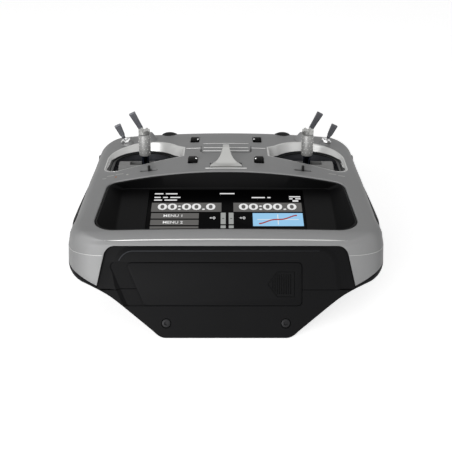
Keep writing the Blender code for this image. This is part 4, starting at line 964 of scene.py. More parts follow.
    def rings(self, y: Array, face_inset: Array, rear_inset: Array) -> Array:
        """Whole sections, carried round both sides.

        Below the end panel's top the near sections lean as the sloping end does, and above the cheeks' crease
        they draw back a little. The floor's bow keeps the rungs across it from having no area.

        Args:
            y: Places along Y.
            face_inset: How far each is drawn in at its face.
            rear_inset: How far each is drawn in at its rear.

        Returns:
            Loops of points, shaped (m, 2n - 2, 3).
        """
        half = self.sections(y, face_inset, rear_inset)
        x, z = half[..., 0], half[..., 1]
        z = z + self.floor_bow * np.minimum(1.0, x / self.floor_reach) ** 2
        station = np.broadcast_to(np.asarray(y, float)[:, None], x.shape)
        along = (station - self.near_y) / (self.lean_end_y - self.near_y)
        lean = np.minimum(1.0, 1.1 * np.maximum(0.0, 1.0 - along))
        place = station - math.tan(self.end_tilt) * np.maximum(0.0, self.end_top - z) * lean
        near = np.clip((self.cheek_end_y - station) / (self.cheek_end_y - self.near_y), 0.0, 1.0)
        rise = np.clip(z - self.crease_z, 0.0, self.crease_rise)
        back = self.crease_lean * rise * np.minimum(1.0, 3.0 * near)
        outer = np.clip((x - self.cheek_x) / self.cheek_blend, 0.0, 1.0)
        corner = np.clip((station - self.near_y) / self.near_corner, 0.0, 1.0)
        place = place + back * outer * (1.0 - corner)
        x = x - back * outer * corner
        right = grid(x, place, z)
        left = right[:, -2:0:-1] * np.array([-1.0, 1.0, 1.0])
        return np.concatenate([right, left], axis=1)

    def solid(self) -> Surface:
        """The whole outer form, with both ends drawn in along a round.

        Returns:
            A closed surface.
        """
        start = np.radians(self.lip_break)
        near = np.linspace(start, np.radians(self.lip_end), 8)
        into = self.lip_round * (np.cos(start) - np.cos(near))
        lift = 0.97 * np.clip(1.0 - into / self.rear_fillet, 0.0, 1.0)
        far = np.linspace(np.pi / 2, 0.0, 9)
        corner = self.near_corner * (1 - np.cos(np.linspace(0.75, np.pi / 2, 7)))
        far_corner = self.far_corner * (1 - np.cos(np.linspace(np.pi / 2, 0.85, 7)))
        stations = [
            self.near_y + into,
            self.near_y + corner[corner > into[-1]],
            np.linspace(self.neck_y, self.cheek_end_y, 5)[1:],
            np.linspace(self.cheek_end_y, self.far_y - self.far_corner, 30)[1:-1],
            self.far_y - far_corner,
            self.far_y - self.far_fillet * (1 - np.cos(far)),
        ]
        face = [self.lip_round * (np.sin(near[-1]) - np.sin(near))]
        rear = [self.rear_fillet * (1 - np.sqrt(1 - lift**2))]
        for part in stations[1:-1]:
            face.append(np.zeros(len(part)))
            rear.append(np.zeros(len(part)))
        face.append(self.far_fillet * (1 - np.sin(far)))
        rear.append(face[-1])
        y = np.concatenate(stations)
        order = np.argsort(y, kind="stable")
        rows = self.rings(y[order], np.concatenate(face)[order], np.concatenate(rear)[order])
        return skin(rows, Cap.LADDER)

    def hollow(self) -> Surface:
        """The inside of the case, one wall within its outer form."""
        amount = np.full(len(self.hollow_y), self.wall)
        return skin(self.rings(np.array(self.hollow_y), amount, amount), Cap.LADDER)

    def end_view(self) -> Array:
        """Frame of the sloping end face, with its Z axis outwards."""
        tilt = self.end_tilt
        return axes((0, self.near_y, self.end_top), (1, 0, 0), (0, math.sin(tilt), math.cos(tilt)))

    def up_end(self, z: float) -> float:
        """Place of a height up the sloping end, in the end face's own frame."""
        return (z - self.end_top) / math.cos(self.end_tilt)

    def end_frame(self, x: float, z: float) -> Array:
        """Frame at a place on the sloping end."""
        return self.end_view() @ shift(x, self.up_end(z))

    def on_face(self, outline: Array, sink: Union[float, Array]) -> Array:
        """Lays flat points on the face, or that far under it."""
        x, y = outline[..., 0], outline[..., 1]
        return grid(x, y, self.face(x, y) - sink)


FORM = CaseForm()


@dataclass(frozen=True)
class Openings:
    """Outlines of what is cut in the face, each of which can be grown all round."""

    screen_near_y: float = -0.0545
    screen_near_half: float = 0.0782
    screen_far_half: float = 0.0764
    screen_far_y: float = 0.0060
    screen_bow: float = 0.0045
    screen_near_radius: float = 0.0130
    screen_far_radius: float = 0.0075
    stick_x: float = 0.0556
    stick_y: float = 0.0440
    well_radius: float = 0.0255
    well_chord: float = 0.0140
    well_angle: float = math.radians(22.0)
    well_inner: float = 0.0260
    well_outer: float = 0.0252
    well_corner: float = 0.0070
    well_flank: float = math.radians(24.0)
    well_turn: tuple[float, float] = (36.0, 172.0)
    panel_top: float = 0.0696
    panel_low: float = 0.0755
    panel_corner: float = 0.0065
    panel_low_z: float = 0.0258

    def screen(self, grow: float) -> Array:
        """Screen bay, whose sides spread towards its near edge.

        Args:
            grow: How far it is grown all round.

        Returns:
            Points, shaped (n, 2).
        """
        far_edge = (self.screen_far_half + grow, self.screen_far_y + grow, self.screen_far_radius + grow)
        near_edge = (self.screen_near_half + grow, self.screen_near_y - grow, self.screen_near_radius + grow)
        return self.bay(far_edge, near_edge, self.screen_bow)

    def bay(self, far_edge: Sequence[float], near_edge: Sequence[float], bow: float = 0.0) -> Array:
        """Outline with round corners, whose far edge bows out by bow times one less the square of x.

        Args:
            far_edge: Half width, place and corner radius of the far edge.
            near_edge: The same of the near edge.
            bow: How far the far edge bows.

        Returns:
            Points, shaped (n, 2).
        """
        far_half, far, far_r = far_edge
        near_half, near, near_r = near_edge
        straight = far_half - far_r
        share = np.linspace(0.0, 1.0, 24, endpoint=False)
        bowed = grid(straight * share, far + bow * (1 - share**2))
        far_turn = arc((straight, far - far_r), far_r, 88, 2, 12)
        near_turn = arc((near_half - near_r, near + near_r), near_r, 2, -88, 14)
        side = between(far_turn[-1], near_turn[0], 10)[:-1]
        edge = between(near_turn[-1], np.array([0.0, near]), 16)
        return both_sides(np.concatenate([bowed, far_turn, side, near_turn, edge]), True)

    def well(self, side: float, grow: float) -> Array:
        """Stick well: round at its far side, straight across its near and inner sides.

        Args:
            side: -1 for left, 1 for right.
            grow: How far it is grown all round.

        Returns:
            Points, shaped (n, 2).
        """
        chord, inner = self.well_chord + grow, self.well_inner + grow
        outer, radius = self.well_outer + grow, self.well_radius + grow
        across = np.array([math.sin(self.well_angle), -math.cos(self.well_angle)])
        along = np.array([math.cos(self.well_angle), math.sin(self.well_angle)])
        inner_near = across * chord + along * ((inner - across[0] * chord) / along[0])
        outer_near = across * chord + along * ((-outer - across[0] * chord) / along[0])
        inner_far = np.array([inner, inner * math.tan(self.well_flank)])
        turn = arc((0.0, 0.0), radius, *self.well_turn, 44)
        corner = round_corner(np.array([-outer, 0.0]), outer_near, inner_near, self.well_corner + grow, 10)
        chord_line = between(corner[-1], inner_near, 10)
        flat = np.concatenate([corner, chord_line, between(inner_near, inner_far, 6), turn])
        return grid(side * (self.stick_x - flat[:, 0]), self.stick_y + flat[:, 1])

    def panel(self, shrink: float) -> Array:
        """End panel between the cheeks, seen from the near end.

        Args:
            shrink: How far it is drawn in all round.

        Returns:
            Points (x, z), shaped (n, 2).
        """
        top, low = FORM.end_top - shrink, self.panel_low_z + shrink
        high, wide = self.panel_top - shrink, self.panel_low - shrink
        middle, corner, foot = np.array([(0.0, top), (high, top), (wide, low)])
        turn = round_corner(middle, corner, foot, self.panel_corner, 9)
        return both_sides(np.concatenate([turn, [foot]]), False)


CUTS = Openings()


@dataclass(frozen=True)
class SwitchSeat:
    """Where a toggle switch stands: place, cone height, lever length, outward lean and cone radius."""

    x: float
    y: float
    rise: float
    lever: float
    lean: float
    cone: float

    def frame(self, side: float) -> Array:
        """Frame on the face with its Z axis leaning outwards.

        Args:
            side: -1 for left, 1 for right.

        Returns:
            A matrix, shaped (4, 4).
        """
        turn = side * self.lean
        origin = (side * self.x, self.y, FORM.height(self.x, self.y))
        return axes(origin, (math.cos(turn), 0, -math.sin(turn)), (0, 1, 0))


SEATS = {
    "long": SwitchSeat(0.0568, 0.0760, 0.0032, 0.0168, math.radians(28.0), 0.0056),
    "short": SwitchSeat(0.0712, 0.0710, 0.0012, 0.0116, math.radians(24.0), 0.0042),
}


class Swing(Enum):
    """The way that a trim lever swings."""

    ALONG = 0.0
    ACROSS = 90.0


@dataclass(frozen=True)
class TrimPlace:
    """Where a trim lever stands: place, pivot height, way of swinging, width and rise of its tab."""

    x: float
    y: float
    pivot: float
    swing: Swing
    wide: float
    rise: float

    def frame(self) -> Array:
        """Frame at the lever's pivot."""
        return turned_frame((self.x, self.y, self.pivot), math.radians(self.swing.value))


TRIM_KINDS = {
    "lower": (0.0222, 0.0298, 0.0638, Swing.ALONG, 0.0060, 0.0030),
    "upper": (0.0222, 0.0705, 0.0638, Swing.ALONG, 0.0056, 0.0022),
    "stick": (0.0505, 0.0168, 0.0614, Swing.ACROSS, 0.0022, 0.0036),
}
TRIM_PLACES = {
    f"{name}_{kind}_trim": TrimPlace(side * x, *rest)
    for kind, (x, *rest) in TRIM_KINDS.items()
    for name, side in SIDES.items()
}


@dataclass(frozen=True)
class Housing(Assembly):
    """Silver front, black rear half, end panel, rims, grips and screws."""

    parting_z: float = 0.0540
    cheek_low: tuple[float, float] = (0.0279, 0.0372)
    cheek_mid: float = 0.0312
    rim: float = 0.0011
    rim_round: float = 0.0008
    well_draft: float = 0.0022
    well_floor: float = 0.0620
    # Width of the painted shade at each well's floor: a flat dark ring under the ring's lower edge.
    shade_skirt: float = 0.0022
    # Painted shade on the wells' ring slopes: how high it reaches at the sides, and where and over how far it
    # fades out.
    shade_top: float = 0.22
    shade_from: float = -0.0040
    shade_run: float = 0.0140
    slot_room: float = 0.0004
    slot_length: float = 0.0116
    slot_corner: float = 0.0012
    switch_hole: float = 0.0034
    pin_hole: float = 0.0019
    bush: float = 0.0026
    grille_y: float = 0.0180
    grille_pitch: float = 0.0043
    end_screw: tuple[float, float] = (0.0346, 0.0086)
    wing_screw: tuple[float, float] = (0.0830, -0.0290)
    screw_head: float = 0.0020
    grip_low: float = 0.0356
    grip_top: float = 0.0532
    grip_far: float = 0.0580
    # Span, fade and radius of the painted highlight beads along the lip and the cheeks' creases.
    lip_half: float = 0.0700
    lip_fade: float = 0.0120
    bead: float = 0.00038
    cheek_share: float = 0.26
    lamp: float = 0.0008
    climb: tuple[float, float] = (0.0740, 0.0950)
    fall_grow: tuple[float, ...] = (0.0, 0.0004, 0.0026, 0.0030, 0.03, 0.03, 0.0)
    fall_level: tuple[float, ...] = (-0.0010, -0.00105, -0.0018, -0.0019, -0.0019, 0.01, 0.01)
    full: float = 0.15

    def half_mask(self, gap: float) -> Surface:
        """Everything above the joint line, or below it for a gap greater than zero.

        Seen from the side, the line runs level under the cheeks and slopes up behind them; across the case,
        its level part climbs towards each side as the wings do.

        Args:
            gap: How far below the line it ends, or zero.

        Returns:
            A closed surface.
        """
        far, high = self.full, self.parting_z - gap
        level = -far if gap else far
        inner, outer = self.climb
        x = np.array([-far, -outer, -inner, inner, outer, far])
        low = np.interp(np.abs(x), self.climb, self.cheek_low) - gap
        y = np.array([-far, FORM.neck_y + gap, FORM.cheek_end_y + gap, far, far, -far])
        z = grid(low, low, high, high, level, level)
        return skin(grid(x[:, None], y, z))

    def end_tools(self) -> list[tuple[Cut, Shape]]:
        """What the end's level, the cover's track and the battery bay take from the near end.

        Returns:
            What each shape does.
        """
        end = FORM.end_view()
        cover = BatteryCover(self.shop)
        wide = block((0.24, 0.16, 0.011), (0.0, FORM.up_end(0.0), 0.0045)).moved(end)
        floor, level = cover.outline(cover.gap, 0.0092), cover.outline(cover.gap, 0.0118)
        depth = (FORM.end_level - cover.thick - GAP, FORM.end_level, 0.01)
        track = skin(at_heights(np.stack([floor, level, level]), depth)).moved(end)
        mouth = slab(cover.outline(-0.0022), -0.0120, 0.012).moved(end)
        return [(Cut.AWAY, wide), (Cut.AWAY, track), (Cut.AWAY, mouth)]

    def panel_fall(self) -> Surface:
        """What makes the end panel fall away in a wide bevel round the cover's field."""
        field = BatteryCover(self.shop).field()
        return stack(field, self.fall_grow, self.fall_level, ring=True).moved(FORM.end_view())

    def face_tools(self) -> Surface:
        """Everything that is cut through the face, as one set of shapes that don't meet.

        Returns:
            One surface of them all.
        """
        parts = [slab(CUTS.screen(self.rim), 0.0400, 0.1000)]
        for name, side in SIDES.items():
            parts.append(slab(CUTS.well(side, self.rim), 0.0560, 0.1000))
            for seat in SEATS.values():
                parts.append(rod(self.switch_hole, -0.005, 0.012).moved(seat.frame(side)))
            dial = Dial(self.shop, name, side)
            parts.append(rod(dial.radius + 2 * GAP, -dial.sink, 0.02, 48).moved(dial.frame()))
        for spot in TRIM_PLACES.values():
            outline = rounded_box(spot.wide / 2 + self.slot_room, self.slot_length / 2, self.slot_corner, 5)
            parts.append(slab(outline, -0.006, 0.03).moved(spot.frame()))
        key, hook = PowerKey(self.shop), StrapHook(self.shop)
        hole = rounded_box(key.size[0] / 2 + GAP, key.size[1] / 2 + GAP, key.corner, 5)
        parts.append(slab(hole, 0.05, 0.10).moved(shift(0, key.y)))
        length = hook.foot + hook.run * 0.18
        size = (2 * hook.base_half + 2 * GAP, length + 2 * GAP, 0.02)
        parts.append(block(size, (0, hook.y + length / 2, hook.seat() + 0.01)))
        return joined(parts)

    def rear_holes(self) -> Surface:
        """Holes in the rear half: screws, the side levers' pins and the speaker's grille.

        Returns:
            One surface of them all.
        """
        holes = [self.screw_tool(place, sink) for place, sink in self.screw_places().values()]
        for name, side in SIDES.items():
            lever = SideLever(self.shop, name, side)
            pin = axes((side * lever.x, lever.y, lever.z), (0, 0, -side), (0, 1, 0))
            holes.append(rod(self.pin_hole, -0.01, 0.01, 20).moved(pin))
        slit = slab(rounded_box(0.0100, 0.0009, 0.0008, 4), -0.005, 0.005)
        for k in range(-2, 3):
            holes.append(slit.moved(shift(0, self.grille_y + k * self.grille_pitch)))
        return joined(holes)

    def build_shells(self) -> None:
        """Cuts the front, the rear half and the end panel out of the case's outer form."""
        solid = FORM.solid()
        bosses = []
        for name, side in SIDES.items():
            dial = Dial(self.shop, name, side)
            boss = rod(dial.radius + 0.0024, -dial.sink - 0.0025, 0.02, 40)
            bosses.append(boss.moved(dial.frame()))
        inside = self.shop.carve("case_room", FORM.hollow(), [(Cut.AWAY, joined(bosses))])
        panel_hole = slab(CUTS.panel(0.0), 0.0500, 0.1000).moved(FRONT_VIEW)
        steps = [(Cut.KEEP, self.half_mask(0.0)), (Cut.AWAY, inside.copy()), (Cut.AWAY, panel_hole)]
        front = self.shop.carve("front_shell", solid, [*steps, (Cut.AWAY, self.face_tools())])
        self.shop.add("front_shell", front, Look.SILVER, "case", ["front_case"], 24.0)
        panel_body = slab(CUTS.panel(GAP), 0.0530, 0.1000).moved(FRONT_VIEW)
        steps = [(Cut.KEEP, panel_body), (Cut.AWAY, inside.copy()), *self.end_tools()]
        panel = self.shop.carve("end_shell", solid, [*steps, (Cut.AWAY, self.panel_fall())])
        self.shop.add("end_shell", panel, Look.BLACK, "case", ["end_panel"], 24.0)
        steps = [(Cut.KEEP, self.half_mask(GAP)), (Cut.AWAY, inside), (Cut.AWAY, panel_hole)]
        steps += [*self.end_tools(), (Cut.AWAY, self.rear_holes())]
        rear = self.shop.carve("rear_shell", solid, steps)
        self.shop.add("rear_shell", rear, Look.BLACK, "case", ["rear_case", "rear_band"], 24.0)

    def screw_places(self) -> dict[str, tuple[Array, float]]:
        """Frame and depth of each case screw.

        Returns:
            Both, by the screw's name.
        """
        places = {}
        for name, side in SIDES.items():
            x, z = self.end_screw
            places[f"{name}_end_screw"] = (FORM.end_frame(side * x, z), -FORM.end_level)
            x, y = self.wing_screw
            places[f"{name}_wing_screw"] = (axes((side * x, y, FORM.wing_z), (1, 0, 0), (0, -1, 0)), 0.0)
        return places

    def screw_tool(self, place: Array, sink: float) -> Surface:
        """Counterbore of a case screw.

        Args:
            place: The screw's frame.
            sink: How deep its head lies.

        Returns:
            A closed surface.
        """
        floor = -sink - self.screw_head - GAP
        line = [(0.0029, 0.01), (0.0029, floor), (0.0016, floor), (0.0016, floor - 0.0066)]
        return turned(line, 32).moved(place)

    def build_screws(self) -> None:
        """Screws with a round head and a six-sided socket: the socket's radius follows a hexagon."""
        for name, (place, sink) in self.screw_places().items():
            top = -sink - GAP
            low = top - self.screw_head
            shank = [(0.0013, top - 0.0080), (0.0013, low), (0.0026, low)]
            head = [(0.0026, top - 0.0004), (0.00245, top - 0.0001), (0.0022, top), (0.0013, top)]
            body = turned([*shank, *head, (0.00125, top - 0.0012)], 36)
            x, y, z = body.points.T
            inner = (np.hypot(x, y) < 0.00135) & (z > top - 0.0015)
            body.points[inner, :2] *= six_sided(np.arctan2(y, x))[inner, None]
            self.shop.add(name + "_fine", body.moved(place), Look.SCREW, "case", [name])

    def build_rims(self) -> None:
        """Rims of the screen bay and the stick wells, each a profile carried round its opening.

        A profile point is how far outside the opening it lies, how far under the face, and how much of the
        way it is down to the well's floor.
        """
        turn = np.linspace(np.pi / 2, np.pi, 6)
        r = self.rim_round
        grow = np.concatenate([[self.rim, self.rim], r + r * np.cos(turn), [0.0]])
        sink = np.concatenate([[FORM.wall, 0.0], r - r * np.sin(turn), [FORM.wall]])
        rows = np.stack([FORM.on_face(CUTS.screen(g), s) for g, s in zip(grow, sink)])
        self.shop.add("screen_rim", skin(rows, ring=True), Look.SILVER)
        down = np.array([0.12, 0.3, 0.5, 0.7, 0.85, 1.0])
        grow = np.concatenate([[0.0018, self.rim, self.rim], r + r * np.cos(turn), -self.well_draft * down])
        sink = np.concatenate([[0.0, 0.0026, 0.0], r - r * np.sin(turn), np.zeros(len(down))])
        share = np.concatenate([[1.0, 0.0, 0.0], np.zeros(len(turn)), down])
        for name, side in SIDES.items():
            lines = []
            for g, s, k in zip(grow, sink, share):
                line = FORM.on_face(CUTS.well(side, g), s)
                line[:, 2] = line[:, 2] * (1 - k) + self.well_floor * k
                lines.append(line)
            # Painted shade: a flat dark ring at the well's floor that stands for the shadow under the ring's
            # lower edge.
            inner = offset(CUTS.well(side, -self.well_draft), (-0.0001, -self.shade_skirt))
            levels = self.well_floor - 0.0012 + np.array([0.0, 0.0006, 0.0006, 0.0])
            shade_skirt = skin(at_heights(inner[[0, 0, 1, 1]], levels), ring=True)
            # Painted shade: a dark sheet over the ring's sides, which fall in shade.
            self.shop.add(f"{name}_well_liner", self.painted_shade(side), Look.TAB, angle=50.0)
            self.shop.add(f"{name}_well_skirt", shade_skirt, Look.TAB)
            ring = skin(np.stack(lines), ring=True)
            self.shop.add(f"{name}_well_ring", ring, Look.RING, angle=50.0)

    def painted_shade(self, side: float) -> Surface:
        """Painted shade on a well ring's slope: a dark sheet where the ring's sides fall in shade, high at
        the sides, that fades out towards the far end.

        Args:
            side: -1 for left, 1 for right.

        Returns:
            A closed surface.
        """
        lines = []
        for grow in (-0.0002, 0.0003):
            top = FORM.on_face(CUTS.well(side, grow), 0.0)
            low = at_heights(CUTS.well(side, grow - self.well_draft)[None], [self.well_floor])[0]
            far = np.clip((top[:, 1:2] - CUTS.stick_y - self.shade_from) / self.shade_run, 0.0, 1.0)
            share = self.shade_top + (0.97 - self.shade_top) * far * far * (3 - 2 * far)
            lines += [top + (low - top) * share, low]
        return skin(np.stack([lines[0], lines[1], lines[3], lines[2]]), ring=True)

    def build_seats(self) -> None:
        """Raised cones that the toggle switches stand on, each with a bore."""
        for name, side in SIDES.items():
            for kind, seat in SEATS.items():
                rise, cone, bore = seat.rise, seat.cone, self.bush + GAP
                line = [(cone + 0.0014, -0.0045), (cone, rise - 0.0006), (cone - 0.0003, rise - 0.0001)]
                line += [(cone - 0.0006, rise), (bore, rise), (bore, -0.0045)]
                shape = turned(line, 40, ring=True).moved(seat.frame(side))
                self.shop.add(f"{name}_{kind}_seat", shape, Look.SILVER)

    def build_grips(self) -> None:
        """Rubber grips: a lens-shaped section that swells along its length, with a slanted near end."""
        share = np.linspace(0.0, 1.0, 40)[:, None]
        loop = np.linspace(0.0, 1.0, 22)[None]
        slant = (FORM.cheek_end_y - FORM.neck_y) / (self.parting_z - self.cheek_mid)
        low, top = self.grip_low, self.grip_top
        ends = np.minimum(1.0, 0.35 + 9.0 * np.minimum(share, 1 - share)) ** 0.6
        swell = 0.0022 + 0.0013 * np.sin(np.pi * share) ** 0.5
        out = swell * ends * np.clip(np.sin(np.pi * loop), 0.0, 1.0) ** 0.35
        front_z = top + (low - top) * loop
        back_z = low + (top - low) * loop[:, 1:-1]
        z = np.broadcast_to(np.concatenate([front_z, back_z], axis=1), (40, 42))
        reach = np.concatenate([out, np.zeros((40, 20))], axis=1)
        near = FORM.cheek_end_y + (z - self.parting_z) * slant
        y = near + (self.grip_far - near) * share
        for name, side in SIDES.items():
            grip = skin(grid(side * (FORM.width(y) + GAP + reach), y, z))
            self.shop.add(f"{name}_grip_fine", grip, Look.RUBBER, "case", [f"{name}_grip"], 50.0)

    def build_crease_highlights(self) -> None:
        """Painted highlights: fine beads in a lighter finish along the lip's front edge and the cheeks'
        creases, for the light that those edges catch.
        """
        x = np.linspace(-self.lip_half, self.lip_half, 41)
        start, end = math.radians(FORM.lip_break), math.radians(FORM.lip_end)
        drop = FORM.lip_round * (math.sin(end) - math.sin(start))
        lip = grid(x, FORM.near_y + 0.0001, FORM.face(x, FORM.near_y) - drop)
        fade = np.clip((self.lip_half - np.abs(x)) / self.lip_fade, 0.15, 1.0)
        cheek = FORM.solid().points.reshape(-1, FORM.ring_points, 3)[:13, FORM.crease_column]
        path = np.concatenate([[cheek[0] - (0.0016, 0.0, 0.0)], cheek])
        path[:, 2] = FORM.crease_z
        thin = self.bead * self.cheek_share
        lines = [bead(path * (side, 1.0, 1.0), thin) for side in SIDES.values()]
        lines.insert(0, bead(lip, self.bead * fade))
        self.shop.add("case_creases", joined(lines), Look.RING)

    def build_marks(self) -> None:
        """Small printed marks and two lamps on the face beside the screen."""
        lamps = {"white_lamp": (-0.0645, 0.0137, Look.PRINT), "amber_lamp": (-0.0719, 0.0122, Look.AMBER)}
        r = self.lamp
        lens = turned([(r, -0.0004), (r, 0.00005), (r * 0.7, 0.00022), (r * 0.2, 0.0003)], 20)
        for name, (x, y, look) in lamps.items():
            self.shop.add(name, lens.moved(shift(x, y, FORM.height(x, y))), look)
        strokes = [
            (-0.0760, 0.0150, 0.0044, 0.0007),
            (-0.0700, 0.0160, 0.0050, 0.0007),
            (-0.0795, 0.0120, 0.0026, 0.0006),
            (0.0700, 0.0160, 0.0050, 0.0007),
            (0.0760, 0.0150, 0.0044, 0.0007),
        ]
        marks = []
        for x, y, length, width in strokes:
            line = finer(rounded_box(length / 2, width / 2, width * 0.3, 3), 4) + np.array([x, y])
            rows = np.stack([FORM.on_face(line, 0.0002), FORM.on_face(line, -0.00003)])
            marks.append(skin(rows))
        self.shop.add("face_print", joined(marks), Look.PRINT)

    def build(self) -> None:
        """Builds the housing."""
        self.build_shells()
        self.build_rims()
        self.build_seats()
        self.build_grips()
        self.build_screws()
        self.build_crease_highlights()
        self.build_marks()


@dataclass(frozen=True)
class BatteryCover(Assembly):
    """Sliding cover of the battery bay with a ribbed arrow."""

    left: float = -0.0585
    low_left: float = -0.0475
    right: float = 0.0440
    top_z: float = 0.0409
    low_z: float = 0.0179
    thick: float = 0.0010
    corner: float = 0.0025
    gap: float = 0.00018
    arrow_inset: float = 0.0041
    arrow_length: float = 0.0159
    arrow_height: float = 0.0150
    arrow_head: float = 0.0056
    arrow_line: float = 0.0006
    arrow_depth: float = 0.0006
    bead: float = 0.0003
    ribs: int = 11
    field_drop: float = 0.0027
    field_inset: float = 0.0081
    field_spread: float = 0.0030
    field_corner: float = 0.0090

    def outline(self, grow: float, room: float = 0.0) -> Array:
        """Outline on the end face, with room on its left to slide.

        Args:
            grow: How far it is grown all round.
            room: How far it slides.

        Returns:
            Points, shaped (n, 2).
        """
        top, low = FORM.up_end(self.top_z) + grow, FORM.up_end(self.low_z) - grow
        left, low_left = self.left - room - grow, self.low_left - room - grow
        right = self.right + grow
        corners = np.array([(right, top), (left, top), (low_left, low), (right, low)])
        neighbours = zip(np.roll(corners, 1, axis=0), corners, np.roll(corners, -1, axis=0))
        return np.concatenate([round_corner(*three, self.corner, 7) for three in neighbours])

    def field(self) -> Array:
        """The level field round the cover, whose sides run on below the panel.

        Returns:
            Points, shaped (n, 2).
        """
        top, low = FORM.up_end(FORM.end_top - self.field_drop), FORM.up_end(CUTS.panel_low_z)
        high = np.array([CUTS.panel_top - self.field_inset, top])
        waist = np.array([high[0] + self.field_spread, low])
        turn = round_corner(np.array([0.0, top]), high, waist, self.field_corner, 12)
        return both_sides(np.concatenate([turn, [waist + (waist - turn[-1]) * 3.0]]), False)

    def build(self) -> None:
        """A plate with round edges, less an arrow's outline and the grooves between its ribs."""
        top, end = FORM.end_level, FORM.end_view()
        plate = slab(self.outline(0.0), top - self.thick, top, 0.0005)
        last = self.right - self.arrow_inset
        tip, middle = last - self.arrow_length, (FORM.up_end(self.top_z) + FORM.up_end(self.low_z)) / 2
        half, neck = self.arrow_height / 2, tip + self.arrow_head
        arrow = np.array([(last, -half), (last, half), (neck, half), (tip, 0.0), (neck, -half)])
        arrow = arrow + (0.0, middle)
        line, deep = self.arrow_line, top - self.arrow_depth
        grooves = [stack(arrow, (0.0, 0.0, -line, -line), (0.001, deep, deep, 0.001), ring=True)]
        pitch = (self.arrow_length - 3 * line) / self.ribs
        for k in range(1, self.ribs):
            x = tip + (k + 0.5) * pitch
            reach = half * min(1.0, (x - tip) / self.arrow_head) - 3 * line
            if reach > pitch:
                size = (pitch * 0.5, 2 * reach, 2 * self.arrow_depth)
                grooves.append(block(size, (x, middle, top), 0.0001))
        steps = [(Cut.AWAY, joined(grooves).moved(end))]
        mesh = self.shop.carve("battery_cover_fine", plate.moved(end), steps)
        # Painted highlight along the top and left corner of the field round the cover.
        self.shop.add("panel_bead", self.panel_bead().moved(end), Look.EDGE)
        self.shop.add("battery_cover_fine", mesh, Look.BLACK, "battery_cover", ["battery_cover"])

    def panel_bead(self) -> Surface:
        """Painted highlight round the field's left corner and along its top: a bead in a lighter black, which
        thins out to the right.

        Returns:
            A closed surface.
        """
        turn = self.field()[:12] * MIRROR
        turn = turn[turn[:, 1] > FORM.up_end(self.top_z) + 3 * self.bead]
        along = grid(np.linspace(-0.040, 0.054, 16), turn[0, 1])
        path = np.concatenate([turn[::-1], along])
        radius = self.bead * np.clip(np.linspace(1.6, 0.2, len(path)), 0.0, 1.0)
        return bead(at_heights(path[None], [FORM.end_level])[0], radius)


# The screen


